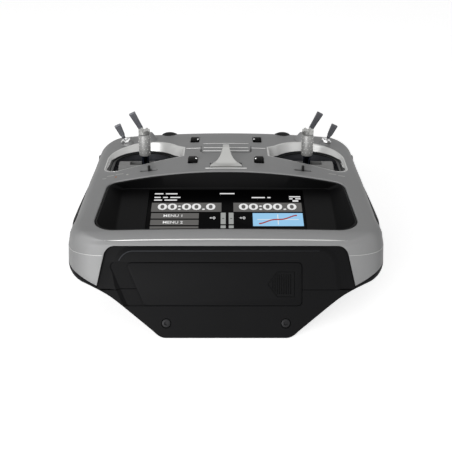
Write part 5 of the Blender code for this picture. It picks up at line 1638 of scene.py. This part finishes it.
@dataclass(frozen=True)
class ScreenBay(Assembly):
    """Black tray, glass and the picture under it."""

    tilt: float = math.radians(15.0)
    y: float = -0.0206
    z: float = 0.0494
    glass: tuple[float, float, float] = (0.0990, 0.0566, 0.0012)
    floor_half: float = 0.0672
    floor_near: float = -0.0302
    floor_far: float = 0.0296
    floor_radius: float = 0.0030
    floor_thick: float = 0.0016
    wall: float = 0.0013
    flange: float = 0.0020
    flange_thick: float = 0.0012
    sink: float = 0.0006
    timer_width: float = 0.0366
    ink_low: float = -0.00009
    ink_step: float = 0.00002
    ink: float = 0.00003

    def frame(self) -> Array:
        """Frame of the screen's plane."""
        return axes((0, self.y, self.z), (1, 0, 0), (0, math.cos(self.tilt), math.sin(self.tilt)))

    def floor(self, grow: float) -> Array:
        """The tray's floor, with as many points as the opening in the face."""
        near, far = self.floor_near - grow, self.floor_far + grow
        return self.plan(self.floor_half + grow, near, far, self.floor_radius + grow)

    def window(self) -> Array:
        """The window in the floor, with as many points as the opening in the face."""
        half, deep = self.glass[0] / 2 + GAP, self.glass[1] / 2 + GAP
        return self.plan(half, -deep, deep, 0.0006)

    def plan(self, half: float, near: float, far: float, radius: float) -> Array:
        """A rectangle with round corners whose points follow those of the opening."""
        return CUTS.bay((half, far, radius), (half, near, radius))

    def lay(self, flat: Array, sink: float) -> Array:
        """Flat points laid in the screen's plane, that far under it."""
        return Surface(at_heights(flat[None], [-sink])[0], []).moved(self.frame()).points

    def build_tray(self) -> None:
        """Tray as a profile carried round the opening: flange, outer wall, lip, slope, floor and window."""
        under = FORM.wall + GAP + 0.0001
        deep, edge = under + self.flange_thick, -GAP - self.wall
        profile = [(-GAP, deep), (self.flange, deep), (self.flange, under), (-GAP, under)]
        profile += [(-GAP, self.sink + 0.0003), (-GAP - 0.0003, self.sink), (edge + 0.0002, self.sink)]
        profile.append((edge, self.sink + 0.0004))
        foot, foot_in = (self.lay(self.floor(grow), 0.0) for grow in (0.0, -0.0009))
        start = foot + (FORM.on_face(CUTS.screen(edge), self.sink) - foot) * 0.10
        bend = np.linspace(0.0, 1.0, 5)[:, None, None]
        rows = [self.lay(self.floor(self.wall), self.floor_thick)]
        rows += [FORM.on_face(CUTS.screen(grow), sink) for grow, sink in profile]
        rows += [*FORM.bent(start, foot, foot_in, bend)]
        rows += [self.lay(self.window(), sink) for sink in (0.0, self.floor_thick)]
        tray = skin(np.stack(rows), ring=True)
        self.shop.add("screen_tray", tray, Look.BEZEL, "case", ["screen_bezel"], 28.0)

    def build_glass(self) -> None:
        """Glass as a plate with slightly round edges."""
        outline = rounded_box(self.glass[0] / 2, self.glass[1] / 2, 0.0008, 5)
        shape = slab(outline, -0.0001 - self.glass[2], -0.0001, 0.00015)
        self.shop.add("display_glass", shape.moved(self.frame()), Look.GLASS, "case", ["screen_glass"])

    def field(self, x0: float, x1: float, y0: float, y1: float, level: int = 0) -> Surface:
        """A thin tile of the picture, given in millimetres from the glass's centre.

        Args:
            x0, x1: Left and right edge.
            y0, y1: Near and far edge.
            level: How many layers up it lies.

        Returns:
            A closed surface.
        """
        low = self.ink_low + level * self.ink_step
        size = ((x1 - x0) * 1e-3, (y1 - y0) * 1e-3, self.ink)
        centre = ((x0 + x1) * 5e-4, (y0 + y1) * 5e-4, low + self.ink / 2)
        return block(size, centre, 0.000005)

    def build_picture(self) -> None:
        """Two timers, menu bars, trim scales, a chart and small status marks."""
        bars = [(-47.2, -2.9, 5.7, 14.8), (4.7, 48.0, 5.7, 14.8)]
        bars += [(-46.9, -17.0, *ends) for ends in ((-1.0, 4.3), (-7.4, -2.3), (-13.8, -8.7))]
        self.tiles("picture_bars", [self.field(*bar) for bar in bars], Look.GREY_INK)
        rows = ((-6.5, 4.7), (-19.0, -7.8))
        scales = [(*ends, *row) for row in rows for ends in ((-3.3, -0.2), (1.7, 4.7))]
        self.tiles("picture_scales", [self.field(*scale) for scale in scales], Look.PALE_INK)
        ticks = [(-2.4, -1.1, -1.2, -0.7), (2.6, 3.9, -1.2, -0.7)]
        self.tiles("picture_ticks", [self.field(*tick, level=1) for tick in ticks], Look.GLASS)
        self.tiles("picture_panel", [self.field(16.7, 48.0, -8.4, 4.3)], Look.SKY_INK)
        self.build_words()
        self.build_chart()

    def tiles(self, name: str, parts: Sequence[Surface], look: Look) -> None:
        """Adds tiles of one ink as a piece."""
        self.shop.add(name, joined(parts).moved(self.frame()), look)

    def build_words(self) -> None:
        """Timer digits, counts, names of two keys and rows of short dashes."""
        high = -0.000055
        parts = []
        for x in (-25.0, 26.4):
            digits = self.shop.letters("timer_digits", "00:00.0", 0.0064, self.ink, 0.00016)
            digits.points[:, 0] *= self.timer_width / np.ptp(digits.points[:, 0])
            parts.append(digits.moved(shift(x * 1e-3, 0.0104, high)))
        words = [("+0", x, y) for y in (-0.6, -13.6) for x in (-8.5, 10.2)]
        words += [("MENU 1", -33.0, 1.6), ("MENU 2", -33.0, -4.9)]
        for text, x, y in words:
            letters = self.shop.letters("words", text, 0.0026, self.ink, 0.00003)
            parts.append(letters.moved(shift(x * 1e-3, y * 1e-3, high)))
        rows = [(-46.0, 24.2, (5.5, 7.5)), (-46.0, 20.4, (4.0, 3.0, 6.5)), (-46.0, 17.6, (5.0, 8.0))]
        rows += [(-4.0, 24.4, (9.5,)), (16.5, 20.2, (8.5, 2.0))]
        rows += [(40.6, 21.0, (7.2,)), (40.6, 18.9, (2.2, 3.4))]
        for x, y, lengths in rows:
            for length in lengths:
                parts.append(self.field(x, x + length, y - 0.55, y + 0.55, 1))
                x += length + 1.6
        parts.append(self.field(42.6, 46.2, 15.9, 17.5, 1))
        self.tiles("picture_words", parts, Look.WHITE_INK)

    def build_chart(self) -> None:
        """A response curve on the chart panel: an S-shaped band of even thickness, with a level line."""
        share = np.linspace(-1.0, 1.0, 40)
        line = grid(0.0324 + 0.0120 * share, -0.0020 + 0.0040 * np.sin(share * np.pi / 2) ** 3)
        band = np.concatenate([line + (0.0, 0.0006), (line - (0.0, 0.0006))[::-1]])
        self.tiles("picture_curve", [slab(band, -0.00006, -0.00003)], Look.RED_INK)
        lines = [self.field(19.5, 45.3, -2.25, -1.75, 1), self.field(32.1, 32.6, -6.9, 2.9, 1)]
        self.tiles("picture_axes", lines, Look.WHITE_INK)

    def build(self) -> None:
        """Builds the screen bay."""
        self.build_tray()
        self.build_glass()
        self.build_picture()
        self.shop.dress("display_unit", Look.TAB)


# Controls


@dataclass(frozen=True)
class StickGimbal(Control):
    """Stick with its sleeve and toothed tip, over the drum that it turns in."""

    pivot_z: float = 0.0470
    shaft: float = 0.0026
    hub: float = 0.0040
    pin: float = 0.0018
    pin_reach: float = 0.0124
    sleeve_low: float = 0.0674
    sleeve_top: float = 0.0826
    sleeve: float = 0.0041
    crown: float = 0.0032
    teeth: int = 6
    rows: int = 5
    points_round: int = 10
    point: tuple[float, float, float] = (0.0005, 0.00042, 0.00042)

    def frame(self) -> Array:
        """Frame at the stick's pivot."""
        return shift(self.side * CUTS.stick_x, CUTS.stick_y, self.pivot_z)

    def build(self) -> None:
        """Builds the stick and dresses its gimbal."""
        self.build_shaft()
        self.build_sleeve()
        self.build_tip()
        self.shop.dress(f"{self.name}_gimbal_drum", Look.DRUM)
        self.shop.dress(f"{self.name}_gimbal_frame", Look.LEVER)
        self.build_clip()

    def build_shaft(self) -> None:
        """Turned shaft with a hub, and a cross pin along Y through it."""
        top = self.sleeve_top - self.pivot_z - 0.0015
        line = [(0.0004, -0.0045), (self.hub, -0.0030), (self.hub, 0.0030)]
        line += [(self.shaft, 0.0045), (self.shaft, top), (0.0004, top)]
        pin = rod(self.pin, -self.pin_reach, self.pin_reach, 20).moved(FRONT_VIEW)
        shape = joined([turned(line, 32), pin])
        self.put("shaft", shape, Look.SHAFT, "stick", "stick")

    def build_sleeve(self) -> None:
        """Plain sleeve with round ends and rows of small pyramids round it, in a lighter finish that is
        painted highlight on the knurl's points.
        """
        low, top = self.sleeve_low - self.pivot_z, self.sleeve_top - self.pivot_z
        bore, r = self.shaft + GAP, self.sleeve
        outer = [(r - 0.0009, low), (r - 0.0003, low + 0.0004), (r - 0.0001, low + 0.0010)]
        outer += [(r - 0.0001, top - 0.0008), (r - 0.0004, top - 0.0003), (r - 0.0008, top)]
        line = [*outer, (bore * 0.4, top), (bore * 0.4, top - 0.0010), (bore, top - 0.0010), (bore, low)]
        sleeve = turned(line, 48, ring=True)
        self.put("sleeve_fine", sleeve, Look.ALLOY, "stick_sleeve", "stick", 40.0)
        corners = np.array([[0, -1, -1], [0, 1, -1], [0, 1, 1], [0, -1, 1], [1, 0, 0]]) * self.point
        sides = [np.array([[0, 1, 4], [1, 2, 4], [2, 3, 4], [3, 0, 4]]), np.array([[3, 2, 1, 0]])]
        spike = Surface(corners + (r - 0.0003, 0, 0), sides)
        spikes = []
        for row in range(self.rows):
            height = low + 0.0028 + row * (top - low - 0.0052) / (self.rows - 1)
            for k in range(self.points_round):
                angle = 2 * np.pi * (k + 0.5 * (row % 2)) / self.points_round
                spikes.append(spike.moved(turned_frame((0, 0, height), angle)))
        # The pyramids' lighter finish is painted highlight.
        self.put("sleeve_points", joined(spikes), Look.POINT, body="stick")

    def build_tip(self) -> None:
        """Dished tip whose rim rises and falls round it, with one tooth to each wave."""
        base = self.sleeve_top - self.pivot_z + GAP
        top = base + self.crown
        r = self.sleeve - 0.0002
        line = [(0.0003, base), (r, base), (r, top - 0.0012), (r, top - 0.0004), (r - 0.0004, top)]
        line += [(0.0024, top - 0.0002), (0.0016, top - 0.0011), (0.0003, top - 0.0012)]
        shape = turned(line, 72)
        points = shape.points
        angle = np.arctan2(points[:, 1], points[:, 0])
        wave = np.clip(2.2 * np.cos(self.teeth * angle) + 0.3, -1.0, 1.0) * 0.5 - 0.5
        points[:, 2] += np.where(points[:, 2] > top - 0.0009, 0.0011 * wave, 0.0)
        self.put("tip_fine", shape, Look.STEEL, "stick_tip", "stick", 30.0)

    def build_clip(self) -> None:
        """Spring clip and a red marker on the gimbal's outer side."""
        x = self.side * (CUTS.stick_x + 0.0150)
        plate = block((0.0060, 0.0016, 0.0005), (x, 0.0325, 0.0569), 0.0001)
        post = turned([(0.0011, 0.0563), (0.0011, 0.0590), (0.0007, 0.0594), (0.0002, 0.0595)], 20)
        clip = joined([plate, post.moved(shift(x - self.side * 0.0012, 0.0325))])
        self.shop.add(f"{self.name}_gimbal_clip", clip, Look.CHROME)
        centre = (self.side * (CUTS.stick_x + 0.0195), 0.0380, 0.0566)
        tag = block((0.0030, 0.0020, 0.0010), centre, 0.0002)
        self.shop.add(f"{self.name}_gimbal_tag", tag, Look.TAG)


@dataclass(frozen=True)
class ToggleSwitch(Control):
    """Toggle switch: threaded bush, nut and flat lever."""

    kind: str
    bush: float = 0.0026
    bush_rise: float = 0.0026
    nut: float = 0.0037
    nut_height: float = 0.0016
    body: tuple[float, float, float] = (0.0060, 0.0065, 0.0026)
    body_top: float = 0.0068
    base: float = 0.0034
    tip: float = 0.0046
    thick: float = 0.0018

    def frame(self) -> Array:
        """Frame of the switch's seat."""
        return SEATS[self.kind].frame(self.side)

    def build(self) -> None:
        """Builds the switch on its seat."""
        seat = SEATS[self.kind]
        top = seat.rise + self.bush_rise
        self.build_bush(top)
        self.build_nut(seat.rise + GAP)
        self.build_lever(top, seat.lever)

    def build_bush(self, top: float) -> None:
        """Bush whose radius follows a saw-tooth thread, on a square body under the face.

        Args:
            top: Height of the bush's end.
        """
        z = np.linspace(-self.body_top, top - 0.0003, 60)
        saw = np.abs((z / 0.0006) % 1.0 - 0.5) * 2
        end = [(self.bush - 0.0005, top), (0.0012, top), (0.0010, top - 0.0006)]
        bush = turned([*zip(self.bush - 0.00018 * saw, z), *end], 32)
        box = block(self.body, (0, 0, -self.body_top - self.body[2] / 2), 0.0003)
        shape = joined([bush, box])
        self.put("bush", shape, Look.CHROME, "switch", angle=50.0)

    def build_nut(self, low: float) -> None:
        """Hexagon nut: the radius follows a hexagon, capped by a cone that rounds off its corners.

        Args:
            low: Height of the nut's underside.
        """
        angle = np.arange(72) * (2 * np.pi / 72)
        limit = self.nut * np.array([0.90, 0.99, 1.0, 1.0, 0.99, 0.90])
        heights = low + self.nut_height * np.array([0.0, 0.14, 0.2, 0.8, 0.86, 1.0, 1.0, 0.0])
        outer = np.minimum(self.nut * six_sided(angle), limit[:, None])
        radius = np.concatenate([outer, np.full((2, 72), self.bush + GAP * 0.4)])
        rows = grid(radius * np.cos(angle), radius * np.sin(angle))
        nut = skin(at_heights(rows, heights), ring=True)
        self.put("nut_fine", nut, Look.CHROME, "switch_nut", angle=20.0)

    def build_lever(self, low: float, length: float) -> None:
        """Lever that grows from a round stem to a flat paddle: each section is a squared ellipse.

        Args:
            low: Height of the lever's foot.
            length: Its length.
        """
        base, tip, thick = self.base / 2, self.tip / 2, self.thick / 2
        stem, blade = (GAP, 0.0008, 0.0018, 0.0026, 0.0034), (length - 0.0012, length - 0.0003, length)
        z = np.array([*stem, length * 0.5, *blade])
        wide = np.array([0.0005, 0.0010, 0.0013, 0.0013, base, 0.0019, tip, tip, tip - 0.0002])
        deep = np.array([0.0005, 0.0010, 0.0012, 0.0010, 0.0009, 0.0009, thick, 0.0009, 0.0007])
        power = np.array([1.0, 1.0, 1.0, 0.7, 0.3, 0.2, 0.15, 0.15, 0.15])[:, None]
        angle = np.arange(40) * (2 * np.pi / 40)
        x = wide[:, None] * np.sign(np.cos(angle)) * np.abs(np.cos(angle)) ** power
        y = deep[:, None] * np.sign(np.sin(angle)) * np.abs(np.sin(angle)) ** power
        lever = skin(grid(x, y, low + z[:, None]))
        self.put("lever_fine", lever, Look.LEVER, "switch_lever", "toggle", 40.0)


@dataclass(frozen=True)
class TrimLever(Assembly):
    """Thumb tab on a barrel."""

    name: str
    thick: float = 0.0017
    barrel: float = 0.0015
    glint_dot: float = 0.0007

    def build(self) -> None:
        """A rounded tab, a barrel across it and a painted glint on its inner side: a small bright chrome
        dome.
        """
        spot = TRIM_PLACES[self.name]
        top = FORM.height(spot.x, spot.y) + spot.rise - spot.pivot - 0.0002
        half = spot.wide / 2
        bend = min(0.0009, half * 0.6)
        right = arc((half - bend, top - bend), bend, 0, 90, 6)
        left = arc((bend - half, top - bend), bend, 90, 180, 6)
        outline = np.concatenate([right, left, [[-half, 0.0], [half, 0.0]]])
        tab = slab(outline, -self.thick / 2, self.thick / 2, 0.0004).moved(FRONT_VIEW)
        barrel = rod(self.barrel, -half - GAP, half + GAP)
        shape = joined([tab, barrel.moved(axes((0, 0, 0), (0, 0, -1), (0, 1, 0)))])
        self.shop.add(f"{self.name}_fine", shape.moved(spot.frame()), Look.TAB, self.name, [self.name])
        # Painted glint: a small bright chrome dome on the tab's inner side.
        if spot.swing is Swing.ALONG:
            side = -math.copysign(1.0, spot.x)
            line = [(self.glint_dot, -0.0002), (self.glint_dot, 0.0001), (self.glint_dot * 0.6, 0.0004), (0.0001, 0.0005)]
            end = axes((side * (half - self.glint_dot), -self.thick / 2, top - 2 * self.glint_dot), (1, 0, 0), (0, 0, 1))
            glint_dot = turned(line, 16).moved(spot.frame() @ end)
            self.shop.add(f"{self.name}_dot", glint_dot, Look.CHROME, self.name)


@dataclass(frozen=True)
class Dial(Control):
    """Fluted dial with a white mark, on the far top edge."""

    x: float = 0.0412
    lean: float = math.radians(45.0)
    radius: float = 0.0065
    height: float = 0.0049
    sink: float = 0.0055
    flutes: int = 24
    depth: float = 0.00035

    def frame(self) -> Array:
        """Frame on the far edge's round, with its Z axis up and away.

        Returns:
            A matrix, shaped (4, 4).
        """
        edge, fillet = FORM.far_y - FORM.far_fillet, FORM.far_fillet
        fall = FORM.crown_fall[-1] * (self.x / FORM.crown_x) ** 2
        up, away = math.cos(self.lean), math.sin(self.lean)
        z = float(np.interp(edge, FORM.top_y, FORM.top_z)) - fall - fillet * (1 - up)
        return axes((self.side * self.x, edge + fillet * away, z), (1, 0, 0), (0, up, -away))

    def build(self) -> None:
        """A turned knob whose rim is waved round, one wave to a flute."""
        base = GAP - self.sink
        top = base + self.height
        r = self.radius
        line = [(0.0004, base), (r - 0.0003, base), (r, base + 0.0003), (r, top - 0.0009)]
        line += [(r - 0.0003, top - 0.0003), (r - 0.0009, top)]
        line += [(r - 0.0016, top - 0.0003), (0.0004, top - 0.0003)]
        shape = turned(line, 144)
        x, y = shape.points[:, :2].T
        radius = np.hypot(x, y)
        rim = np.clip((radius - (r - 0.0010)) / 0.0010, 0.0, 1.0)
        wave = self.depth * (0.5 + 0.5 * np.cos(self.flutes * np.arctan2(y, x))) * rim
        shape.points[:, :2] *= (1.0 - wave / np.maximum(radius, 1e-6))[:, None]
        self.put("dial_fine", shape, Look.TAB, "dial", "dial", 40.0)
        mark = block((0.0007, 0.0030, 0.00025), (0, 0.0032, top - 0.00022), 0.00005)
        self.put("dial_mark", mark, Look.PRINT, body="dial")
        self.shop.dress(f"{self.name}_dial_pot", Look.CHROME)


@dataclass(frozen=True)
class SideLever(Control):
    """Finger lever on the side wall."""

    y: float = 0.0720
    z: float = 0.0460
    hub: float = 0.0052
    reach: float = 0.0112
    thick: float = 0.0018
    gap: float = 0.0009
    x: float = 0.08927
    tip: float = 0.0034
    pin: float = 0.0016

    def frame(self) -> Array:
        """Frame at the lever's pivot, with its Z axis to the right."""
        return axes((self.side * self.x, self.y, self.z), (0, 1, 0), (0, 0, 1))

    def build(self) -> None:
        """A plate with a round hub and tip and soft edges, and its pin."""
        near, far = sorted((self.side * self.gap, self.side * (self.gap + self.thick)))
        end = arc((0, self.reach - self.tip), self.tip, 0, 180, 18)
        outline = np.concatenate([arc((0, 0), self.hub, 150, 390, 28), end])
        plate = slab(outline, near, far, 0.0006, 4)
        low, high = sorted((self.side * -0.0040, self.side * (self.gap + 0.0006)))
        shape = joined([plate, rod(self.pin, low, high)])
        self.put("side_lever_fine", shape, Look.TAB, "side_lever", "side_lever")


@dataclass(frozen=True)
class PowerKey(Assembly):
    """Wide key between the upper trims."""

    size: tuple[float, float] = (0.0334, 0.0074)
    corner: float = 0.0012
    y: float = 0.0482
    proud: float = 0.0006
    low: float = 0.0634
    # Radius of the painted highlight along the brow.
    brow_highlight_line: float = 0.0005

    def build(self) -> None:
        """A bar with round edges and a fine bead along both sides that is painted highlight, with beads on
        the face round it; the bead along the brow is painted highlight too.
        """
        top = FORM.height(0.0, self.y) + self.proud
        outline = finer(rounded_box(self.size[0] / 2, self.size[1] / 2, self.corner, 6), 3)
        shape = slab(outline, self.low, top, 0.0005, 4).moved(shift(0, self.y))
        self.shop.add("power_key_fine", shape, Look.SILVER, "power_key", ["power_key"])
        # Painted highlights: bright beads along the key's long edges.
        half, inset = self.size[0] / 2 - self.corner, self.size[1] / 2 - 0.0006
        lines = [self.ridge(-half, half, self.y + k * inset, self.proud) for k in (-1, 1)]
        self.shop.add("power_key_lines", joined(lines), Look.RING, "power_key")
        lines = [self.ridge(k * 0.0227 - 0.0048, k * 0.0227 + 0.0048, 0.0530, 0.0) for k in (-1, 1)]
        lines.append(self.ridge(-0.0160, 0.0160, 0.0619, -0.0001))
        # Painted highlight: a brighter bead along the brow's edge under the hook.
        lines.append(self.ridge(-0.0135, 0.0135, 0.0147, -0.0001, self.brow_highlight_line))
        self.shop.add("face_lines", joined(lines), Look.RING)
        tick = block((0.0005, 0.0110, 0.0004), (0.0, 0.0516, 0.0693), 0.0001)
        ticks = joined([tick.moved(shift(k * 0.0174, 0.0)) for k in (-1, 1)])
        self.shop.add("face_ticks", ticks, Look.TAB)

    def ridge(self, start: float, end: float, y: float, lift: float, line: float = 0.0003) -> Surface:
        """A fine round bead along X that follows the face, or stays level where it is lifted off it.

        Args:
            start, end: Its ends along X.
            y: Its place along Y.
            lift: How far it lies above the face.
            line: Its radius.

        Returns:
            A closed surface.
        """
        x = np.linspace(start, end, 13)
        level = FORM.face(0 * x if lift > 0 else x, y) + lift
        return bead(grid(x, y, level), line, 10)


@dataclass(frozen=True)
class StrapHook(Assembly):
    """Bent sheet-metal hook for the neck strap."""

    base_half: float = 0.0104
    tip_half: float = 0.0021
    y: float = 0.0155
    foot: float = 0.0060
    run: float = 0.0125
    rise: float = 0.0078
    curl: float = 0.0065
    thick: float = 0.0016
    pocket: float = 0.0010

    def seat(self) -> float:
        """Height of the pocket's floor."""
        return FORM.height(0.0, self.y) - self.pocket

    def build(self) -> None:
        """A flat bar along a bent line: place, height and half width follow eased knots."""
        end = self.y + self.foot
        places = np.array([
            (self.y, 0.0, self.base_half),
            (self.y + self.foot * 0.6, 0.0, self.base_half),
            (end, self.rise * 0.06, self.base_half * 0.84),
            (end + self.run * 0.2, self.rise * 0.22, self.base_half * 0.56),
            (end + self.run * 0.5, self.rise * 0.52, self.base_half * 0.36),
            (end + self.run * 0.9, self.rise * 0.93, self.tip_half * 1.1),
            (end + self.run + self.curl * 0.25, self.rise, self.tip_half),
            (end + self.run + self.curl * 0.7, self.rise * 0.92, self.tip_half),
            (end + self.run + self.curl, self.rise * 0.62, self.tip_half),
        ])
        knots = np.arange(len(places), dtype=float)
        share = np.linspace(0.0, len(places) - 1.0, 65)
        window = np.linspace(-0.45, 0.45, 9)
        y, z, half = (np.interp(share[:, None] + window, knots, column).mean(axis=1) for column in places.T)
        z = z + self.seat() + GAP
        ahead = np.gradient(grid(y, z), axis=0)
        ahead /= np.linalg.norm(ahead, axis=1, keepdims=True)
        up = grid(-ahead[:, 1], ahead[:, 0])
        upper = np.linspace(-0.94, 0.94, 9)
        across = np.concatenate([upper, [1.0, 1.0], upper[::-1], [-1.0, -1.0]])
        level = np.concatenate([np.full(9, 1.0), [0.82, 0.18], np.zeros(9), [0.18, 0.82]]) * self.thick
        rise = up[:, None] * level[:, None]
        y, z = y[:, None] + rise[..., 0], z[:, None] + rise[..., 1]
        rows = grid(half[:, None] * across, y, z)
        self.shop.add("strap_hook_fine", skin(rows), Look.STEEL, "case", ["strap_hook"], 40.0)


@dataclass(frozen=True)
class Insides(Assembly):
    """Pieces inside the case that keep their own shapes."""

    looks: tuple[tuple[str, Look], ...] = (
        ("battery_pack", Look.CELL),
        ("battery_tray", Look.TAB),
        ("main_board", Look.BOARD),
        ("radio_unit", Look.CHROME),
        ("speaker", Look.TAB),
        ("centre_trim_board", Look.BOARD),
        ("left_trim_board", Look.BOARD),
        ("right_trim_board", Look.BOARD),
    )

    def build(self) -> None:
        """Dresses each of them."""
        for node, look in self.looks:
            self.shop.dress(node, look)


# The studio


@dataclass(frozen=True)
class Studio:
    """Pale floor, soft lamps, white surroundings and the camera."""

    camera: tuple[float, float, float] = (0.0, -0.4706, 0.2514)
    pitch: float = math.radians(24.8)
    lens: float = 36.0 * 791.0 / 452.0
    ambient: float = 0.20
    floor_half: float = 3.0
    floor_glow: float = 0.74
    target: tuple[float, float, float] = (0.0, 0.0, 0.04)
    lamps: tuple[tuple[str, tuple[float, float, float], float, float], ...] = (
        ("key_lamp", (-0.60, -1.12, 0.36), 0.8, 13.0),
        ("fill_lamp", (0.85, -0.95, 0.40), 0.8, 1.2),
        ("top_lamp", (-0.10, 0.30, 1.30), 1.0, 1.2),
    )

    def build(self) -> None:
        """Builds the studio."""
        self.build_camera()
        self.build_world()
        self.build_floor()
        for lamp in self.lamps:
            self.add_lamp(*lamp)

    def build_camera(self) -> None:
        """Camera that looks down at the near end, as the photograph does."""
        data = bpy.data.cameras.new("camera")
        data.lens = self.lens
        data.sensor_width = 36.0
        data.clip_start = 0.01
        obj = bpy.data.objects.new("camera", data)
        obj.location = self.camera
        obj.rotation_euler = (math.pi / 2 - self.pitch, 0.0, 0.0)
        bpy.context.scene.collection.objects.link(obj)
        bpy.context.scene.camera = obj

    def add_lamp(self, name: str, place: Sequence[float], size: float, power: float) -> None:
        """A square soft lamp that faces the transmitter.

        Args:
            name: The lamp's name.
            place: Where it hangs.
            size: Length of its side.
            power: Its power in watts.
        """
        data = bpy.data.lights.new(name, "AREA")
        data.size = size
        data.energy = power
        obj = bpy.data.objects.new(name, data)
        x, y, z = np.subtract(self.target, place)
        obj.location = place
        obj.rotation_euler = (math.atan2(math.hypot(x, y), -z), 0.0, math.atan2(y, x) - math.pi / 2)
        bpy.context.scene.collection.objects.link(obj)

    def sight(self, recipe: Recipe) -> Value:
        """One for rays that the camera, a mirror or a clear pane sends out, zero for the rest.

        Args:
            recipe: Adds the nodes.

        Returns:
            The switch.
        """
        seen = recipe.node("ShaderNodeLightPath", output="Is Camera Ray")
        shiny = recipe.node("ShaderNodeLightPath", output="Is Glossy Ray")
        clear = recipe.node("ShaderNodeLightPath", output="Is Transmission Ray")
        return (seen + shiny + clear) > 0.5

    def build_world(self) -> None:
        """White where it is seen, dimmer where it lights."""
        world = bpy.data.worlds.new("studio")
        bpy.context.scene.world = world
        world.use_nodes = True
        recipe = Recipe(world.node_tree)
        background = world.node_tree.nodes["Background"]
        strength = self.sight(recipe) * (1.0 - self.ambient) + self.ambient
        recipe.fill(background, {"Color": (1.0, 1.0, 1.0, 1.0), "Strength": strength})

    def build_floor(self) -> None:
        """A wide floor that reads white and keeps the shadow."""
        half = self.floor_half
        steps = np.linspace(-half, half, 9)
        points = grid(steps[:, None], steps, -0.0002).reshape(-1, 3)
        index = np.arange(81).reshape(9, 9)
        corners = [index[:-1, :-1], index[1:, :-1], index[1:, 1:], index[:-1, 1:]]
        quads = np.stack(corners, axis=-1).reshape(-1, 4)
        mesh = bpy.data.meshes.new("floor")
        mesh.from_pydata(points.tolist(), [], quads.tolist())
        floor = bpy.data.objects.new("floor", mesh)
        bpy.context.scene.collection.objects.link(floor)
        material = bpy.data.materials.new("floor_white")
        material.use_nodes = True
        recipe = Recipe(material.node_tree)
        shader = material.node_tree.nodes["Principled BSDF"]
        tone = recipe.noise(recipe.places(), 3.0, 2.0)
        pale = recipe.blend(tone, (0.84, 0.84, 0.84, 1.0), (0.88, 0.88, 0.88, 1.0))
        recipe.fill(shader, {"Base Color": pale, "Roughness": 0.9, "Specular IOR Level": 0.1})
        glow = recipe.node("ShaderNodeEmission", inputs={"Strength": self.sight(recipe) * self.floor_glow})
        lit = recipe.node("ShaderNodeAddShader", inputs={0: Value(recipe, shader.outputs[0]), 1: glow})
        recipe.fill(material.node_tree.nodes["Material Output"], {"Surface": lit})
        mesh.materials.append(material)


def main() -> None:
    """Builds the transmitter's pieces in order."""
    logging.basicConfig(level=logging.INFO, format="%(message)s")
    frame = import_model()
    bpy.context.scene.view_settings.view_transform = "Standard"
    Studio().build()
    shop = Workshop(frame["nodes"])
    for assembly in (Housing, ScreenBay, BatteryCover, PowerKey, StrapHook):
        assembly(shop).build()
    for name in TRIM_PLACES:
        TrimLever(shop, name).build()
    for name, side in SIDES.items():
        StickGimbal(shop, name, side).build()
        for kind in SEATS:
            ToggleSwitch(shop, f"{name}_{kind}", side, kind).build()
        Dial(shop, name, side).build()
        SideLever(shop, name, side).build()
    Insides(shop).build()
    LOG.info("sizes written")


if __name__ == "__main__":
    main()
